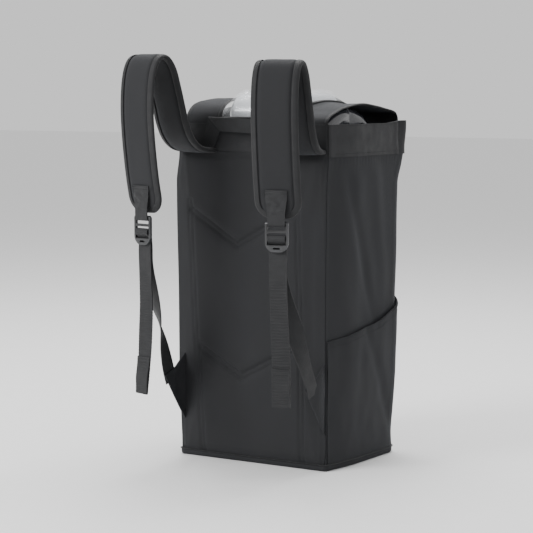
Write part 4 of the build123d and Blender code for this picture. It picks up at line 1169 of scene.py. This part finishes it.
def tail(label, sign):
    """Webbing threaded through the ladder lock, its hemmed end hanging free."""
    lock = Vector((LOCK_OUT, LOCK_AXIS.z))
    line = Route([*[lock + spot for spot in at_mm(*THREADED)], *at_mm(*TAIL_LINES[label])])

    def place(u, v):
        out, up = line.at(line.length * v)[0]
        drift = TAIL_DRIFT[label] * step(v, 0.35, 1.0)
        sway = 1.2 * MM * ripple(v * 4, sign * 2, 1) * step(v, 0.3, 0.6)
        curl = 1.6 * MM * (2 * u - 1) * sin(v * 5 + sign) * step(v, 0.35, 0.8)
        crimp = 0.35 * MM * sin(v * 400 + 1.5 * u + 3 * ripple(v * 14, u * 2, 3)) * step(v, 0.3, 0.4)
        return strap_point((u - 0.5) * WEBBING_WIDE + drift, out + sway + curl + crimp, up, sign)

    size, stands_for = (WEBBING_WIDE, line.length), (f"{label}_adjust_webbing",)
    piece = cloth(f"{label}_tail", None, WEBBING, (10, 240), size, place, WEBBING_THICK, stands_for)
    bend_from, bend_to = [strap_point(0, LOCK_OUT, LOCK_AXIS.z - drop * MM, sign) for drop in (40, 75)]
    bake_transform(piece)

    outwards, hem_long = strap_normal(sign), 52 * MM
    start = 1 - hem_long / line.length

    def hem(u, v):
        outer = place(u, start + (1 - start) * v)
        return outer + outwards * (1.7 * MM + 1.4 * MM * bump(v, 0.55, 0.25))

    size = (WEBBING_WIDE, hem_long)
    cloth(f"{label}_tail_hem", PACK, WEBBING, (10, 40), size, hem, WEBBING_THICK)
    for part in (0.06, 0.16):
        points = [hem(0.08 + 0.105 * spot, part) + outwards * 0.9 * MM for spot in range(9)]
        sew(points, outwards, f"{label}_hem_stitches_{round(part * 100)}", PACK)


def grab_handle():
    """Webbing handle bowed across the back, its ends folded down to the collar's seam."""
    low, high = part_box("grab_handle")
    wide, drop, leg = 20 * MM, 46 * MM, 0.2  # leg: the part of its length that each folded end takes
    depth = (high.y - low.y) - 2 * MM
    top, face = high.z - 1 * MM, high.y - 0.6 * MM
    fold_x, fold_z = high.x - wide / 2, top - wide / 2

    def place(u, v):
        turn, aside = min(v, 1 - v), (u - 0.5) * wide
        sign = -1 if v < 0.5 else 1
        if turn < leg:
            part = turn / leg
            x = fold_x + 14 * MM * (1 - part) + aside
            z = top - drop + (fold_z - top + drop + aside) * part
            return Vector((sign * x, face - depth * 0.2 * part, z))
        reach = (turn - leg) / (0.5 - leg)
        z = fold_z + aside - 2.0 * MM * reach**2 + 0.6 * MM * ripple(v * 9, 2)
        bow = depth * (0.25 + 0.75 * (1 - (1 - reach) ** 2))
        return Vector((sign * (fold_x + aside) * (1 - reach), face - bow, z))

    counts, size, stands_for = (12, 150), (wide, 0.24), ("grab_handle", "handle_ends")
    look = {"angle": 50, "ring": True}
    piece = cloth("handle_webbing", None, WEBBING, counts, size, place, 1.9 * MM, stands_for, **look)
    pivot = Vector(joints["handle_fold"]["pos_m"])
    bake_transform(piece)


# ---------------------------------------------------------------- cover and window
COVER_LEFT = at_mm(
    (-84.5, 470), (-85.5, 488), (-80, 500), (-66, 510), (-41, 515), (4, 518), (60, 516), (98, 510),
    (109, 501), (111.8, 490), (111.4, 480),
)
COVER_RIGHT = at_mm(
    (-85, 470), (-86, 487), (-78, 495), (-60, 501), (-38, 506.5), (0, 511), (33, 510), (70, 505),
    (100, 500), (109, 495), (111.8, 488), (111.4, 480),
)
COVER_MIDDLE = at_mm(
    (-85.5, 470), (-86.5, 492), (-83, 507), (-75, 517), (-60, 524), (-40, 528), (0, 529.5), (40, 527),
    (62, 521), (80, 516), (98, 511), (109, 501), (111.8, 490), (111.4, 480),
)
WINDOW_HALF = 61 * MM
WINDOW_START, WINDOW_END = 0.085, 0.73  # parts of the way from the cover's back edge to its front


def cover_shape():
    """Function that gives the cover's surface from across and along (0 at the back), and its length."""
    lines = [Route(line) for line in (COVER_LEFT, COVER_MIDDLE, COVER_RIGHT)]
    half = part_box("top_cover")[1].x

    def place(u, v):
        left, middle, right = [line.at(line.length * v)[0] for line in lines]
        across = 2 * u - 1
        point = middle.lerp(left if across < 0 else right, step(abs(across), 0.25, 0.64))
        wrinkle = 0.8 * MM * ripple(u * 9, v * 7, 3) * step(v, 0.08, 0.2) * (1 - step(v, 0.9, 0.98))
        return Vector((across * half, point.x, point.y + wrinkle))

    return place, lines[1].length


def bend_at_hinge(piece):
    """Bake the placing of a piece of the cover into its mesh; its hinge, where it is sewn inside the front of
    the collar, is read but not used.
    """
    hinge = Vector(joints["cover_open"]["pos_m"])
    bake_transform(piece)


def top_cover():
    """Cloth cover with a bound window opening, bound open sides and its clear window."""
    place, length = cover_shape()
    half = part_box("top_cover")[1].x
    columns, rows = 96, 110
    piece = cloth_grid(columns, rows, place, (2 * half, length))
    first, last = [round(columns * (1 + side * WINDOW_HALF / half) / 2) for side in (-1, 1)]
    low, high = round(rows * WINDOW_START), round(rows * WINDOW_END)
    edit(piece, ("select_mode", {"type": "FACE"}), ("select_all", {"action": "DESELECT"}))
    for face in piece.data.polygons:
        row, column = divmod(min(face.vertices), columns + 1)
        face.select = first <= column < last and low <= row < high
    edit(piece, ("delete", {"type": "FACE"}), whole=False)
    thicken(piece, 1.6 * MM, offset=0)
    dress(piece, "cover_cloth", None, PACK_CLOTH, ("top_cover",))
    bend_at_hinge(piece)

    for label, u in (("left", 0.0), ("right", 1.0)):
        edge = [place(u, part / 120) for part in range(121)]
        bend_at_hinge(bound_edge(edge, f"cover_{label}_binding", 2.0 * MM, None))
    window_film(place, first / columns, last / columns, low / rows, high / rows)


def bound_edge(line, name, radius, body):
    """Rolled binding along an edge."""
    route = Route(line, parts=2)

    def tape(u, v):
        point, way = route.at(route.length * v)
        up = Vector((0, 0, 1)) - way * way.z
        up = up.normalized() if up.length > 0.05 else Vector((0, 1, 0))
        across = way.cross(up).normalized()
        turn = 2 * pi * u
        return point + across * radius * 1.5 * cos(turn) + up * radius * 0.75 * sin(turn)

    piece = cloth_grid(10, 2 * len(line), tape, (2 * pi * radius, route.length))
    point_outwards(piece)
    close_ends(piece)
    return dress(piece, name, body, BINDING)


def close_ends(piece):
    """Fill the open ends of a tube."""
    edit(
        piece, ("select_mode", {"type": "EDGE"}), ("select_all", {"action": "DESELECT"}),
        ("select_non_manifold", {"extend": False}), ("fill_holes", {"sides": 0}),
        ("select_all", {"action": "SELECT"}), OUTWARDS,
    )


def window_film(cover_place, first, last, low, high):
    """Clear film that stands up over the control pod, with its bound frame."""
    film = BVHTree.FromObject(nodes["cover_window"], bpy.context.evaluated_depsgraph_get())
    film_low, film_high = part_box("cover_window")

    def in_opening(u, v):
        return cover_place(first + (last - first) * u, low + (high - low) * v)

    def place(u, v):
        point = in_opening(u, v)
        x = max(film_low.x + 1 * MM, min(film_high.x - 1 * MM, point.x))
        y = max(film_low.y + 1 * MM, min(film_high.y - 1 * MM, point.y))
        hit = film.ray_cast(Vector((x, y, 0.7)), Vector((0, 0, -1)))[0]
        inside = step(point.y, film_low.y - 3 * MM, film_low.y + 3 * MM)
        inside *= step(min(u, 1 - u), 0, 0.05) * step(1 - v, 0, 0.05)
        lifted = point.z if hit is None else max(hit.z + 0.4 * MM, point.z)
        crinkle = 2.2 * MM * ripple(u * 5 + v * 5, v * 9 - u * 4, 4)
        crinkle += 1.1 * MM * ripple(u * 15 + v * 6, v * 12, 9)
        edge = step(min(u, 1 - u, v, 1 - v), 0, 0.12)
        return Vector((point.x, point.y, point.z + (lifted - point.z) * inside + abs(crinkle) * edge))

    size, stands_for = (2 * WINDOW_HALF, 0.16), ("cover_window",)
    piece = cloth("window_film", "cover", FILM, (72, 96), size, place, 0.5 * MM, stands_for, offset=1)
    ring = [in_opening(*frame_spot(part / 160)) + Vector((0, 0, 0.6 * MM)) for part in range(161)]
    bound_edge(ring, "window_binding", 2.2 * MM, "cover")


def frame_spot(part):
    """Round the window's frame: (across, along) at a part of the way."""
    side = part * 4
    run = side - floor(side)
    return ((run, 0), (1, run), (1 - run, 1), (0, 1 - run))[int(side) % 4]


# ---------------------------------------------------------------- front pocket
def front_pocket():
    """Accessory pocket on the front: a soft raised pad with a zip across its top."""
    low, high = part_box("front_pocket")
    half, rise = high.x, high.z - low.z
    depth, corner_radius, seam = 14 * MM, 16 * MM, 12 * MM

    def place(u, v):
        x, z = (2 * u - 1) * half, low.z + rise * v
        edge = min(min(u, 1 - u) * 2 * half, min(v, 1 - v) * rise)
        past = Vector((abs(x) - half, abs(z - low.z - rise / 2) - rise / 2))
        past += Vector((corner_radius, corner_radius))
        if past.x > 0 and past.y > 0:
            edge = min(edge, corner_radius - past.length)
        raised = depth * sqrt(max(0, 1 - (1 - min(1, max(0, edge) / (11 * MM))) ** 2))
        lean = (high.y - low.y - depth) * v
        soft = 0.6 * MM * ripple(x * 18, z * 14, 5) * step(edge, 0, 20 * MM)
        return Vector((x, low.y + lean + raised * 0.94 + soft, z))

    piece = cloth_grid(88, 106, place, (2 * half, rise))
    zip_low, zip_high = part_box("pocket_zip")

    def pinned(point):
        on_zip = zip_low.z - 2 * MM < point.z < zip_high.z + 2 * MM
        return on_zip or abs(point.x) > half - seam or point.z < low.z + seam or point.z > high.z - seam

    puff(piece, pinned, 3.0, 2.0 * MM)
    thicken(piece, 1.4 * MM, offset=0)
    dress(piece, "accessory_pocket", PACK, PACK_CLOTH, ("front_pocket",))
    zip_teeth(zip_low, zip_high)


def zip_teeth(low, high):
    """Row of coil teeth on the zip's tape."""
    size, pitch, margin = (0.8 * MM, 1.0 * MM, 4.6 * MM), 1.6 * MM, 4 * MM
    deselect()
    bpy.ops.mesh.primitive_cube_add(size=1)
    pattern = bpy.context.object
    for vertex in pattern.data.vertices:
        vertex.co = [part * long for part, long in zip(vertex.co, size)]
    edit(pattern, ("bevel", {"offset": 0.25 * MM, "segments": 2}))
    pattern.location = (low.x + margin, high.y - 0.1 * MM, (low.z + high.z) / 2)
    bpy.ops.object.transform_apply(location=True, rotation=False, scale=False)
    spacing = {"use_relative_offset": False, "use_constant_offset": True}
    count = int((high.x - low.x - 2 * margin) / pitch)
    modify(pattern, "ARRAY", count=count, constant_offset_displace=(pitch, 0, 0), **spacing)
    dress(pattern, "zip_teeth", PACK, BUCKLE, slot="zip")


# ---------------------------------------------------------------- hard parts
MADE = {
    "pack_fabric": PACK_CLOTH, "pad_fabric": LINING, "webbing": WEBBING, "buckle": BUCKLE, "film": FILM,
    "smoke_housing": SMOKE, "silver_pod": SILVER,
    "zip": webbing_finish("zip_tape", (0.02, 0.02, 0.022), 0.0008),
    "screen": moulded_finish("display_glass", (0.012, 0.016, 0.020), 0.05, wear_and_highlight_factor=1.0, Coat_Weight=1.0),
}
# the sixth number, where given, sets how much paler the edges are painted: partly wear, partly painted
# highlight
MOULDED = {
    "foam": ("pad_foam", (0.12, 0.12, 0.13), 0.9, 300.0, 0.5),
    "board": ("base_board_plastic", (0.03, 0.03, 0.032), 0.6),
    "tape": ("hook_and_loop", (0.012, 0.012, 0.013), 0.95, 2500.0, 0.9),
    "zip_metal": ("painted_slider", (0.03, 0.03, 0.032), 0.3, 900.0, 0.08, 5.0),
    "overlay": ("membrane_overlay", (0.66, 0.69, 0.74), 0.35, 1500.0, 0.05),
    "key_light": ("pale_keys", (0.36, 0.39, 0.43), 0.4),
    "key_green": ("green_key", (0.07, 0.22, 0.12), 0.4),
    "key_amber": ("amber_key", (0.55, 0.25, 0.03), 0.4),
    "battery": ("battery_case", (0.035, 0.036, 0.04), 0.5, 900.0, 0.08, 3.0),
    "latch": ("latch_plastic", (0.30, 0.31, 0.33), 0.4),
    "motor_metal": ("motor_paint", (0.035, 0.037, 0.042), 0.35, 900.0, 0.08, 4.0),
    "rubber": ("black_rubber", (0.015, 0.015, 0.016), 0.85, 500.0, 0.3),
    "tubing": ("silicone_tube", (0.45, 0.48, 0.52), 0.3, 900.0, 0.08, 1.1),
    "manifold": ("valve_block", (0.08, 0.09, 0.10), 0.45),
    "filter": ("filter_case", (0.55, 0.58, 0.62), 0.4),
    "circuit": ("circuit_board", (0.010, 0.075, 0.030), 0.4, 1200.0, 0.2),
    "fan": ("fan_plastic", (0.02, 0.02, 0.022), 0.4),
}
METALS = {
    "brass": ("turned_brass", (0.60, 0.42, 0.17), 0.25),
    "chassis_metal": ("brushed_sheet", (0.55, 0.56, 0.58), 0.42, 700.0),
    "vessel_metal": ("drawn_tube", (0.62, 0.63, 0.66), 0.3),
    "cast_metal": ("cast_aluminium", (0.42, 0.43, 0.45), 0.55, 400.0, 0.4),
    "steel": ("machined_steel", (0.50, 0.50, 0.52), 0.28),
}
ROUNDED = {  # width of the rounding of each part's edges, in millimetres
    "right_ladder_lock": 0.9, "left_ladder_lock": 0.9, "zip_slider": 0.4, "rear_housing": 0.5,
    "front_housing": 0.5, "control_pod": 0.6, "control_overlay": 0.2, "display_window": 0.25,
    "power_button": 0.3, "minus_button": 0.3, "plus_button": 0.3, "alarm_button": 0.3,
    "battery_pack": 0.8, "battery_latch": 0.5, "outlet_nozzle": 0.15, "power_inlet": 0.2,
    "machine_shelf": 2.0,
}


def finish_frame():
    """Give every CAD node its finish, and round the edges of those that can be seen."""
    slot_of = {entry["node"]: entry["material_slot"] for entry in frame["record"]["subparts"]}
    bodies = frame["record"]["behaviour"]["bodies"].items()
    body_of = {member: body for body, members in bodies for member in members}
    made = MADE | {slot: moulded_finish(*what) for slot, what in MOULDED.items()}
    made |= {slot: metal_finish(*what) for slot, what in METALS.items()}
    for node, thing in nodes.items():
        thing.data.materials.clear()
        thing.data.materials.append(made[slot_of[node]])
    for node, width in ROUNDED.items():
        slot = slot_of[node]
        rounded_copy(node, body_of[node], made[slot], slot, width * MM)


set_camera()
set_studio()
finish_frame()
pack_shell()
back_pad()
base_cloth()
collar()
front_pocket()
for side_label, side_sign, side_seed in (("right", 1, 11.0), ("left", -1, 17.0)):
    side_pocket(side_label, side_sign, side_seed)
    for make_piece in (wing, strap_pad, strap_tab, load_strand, tail):
        make_piece(side_label, side_sign)
grab_handle()
top_cover()
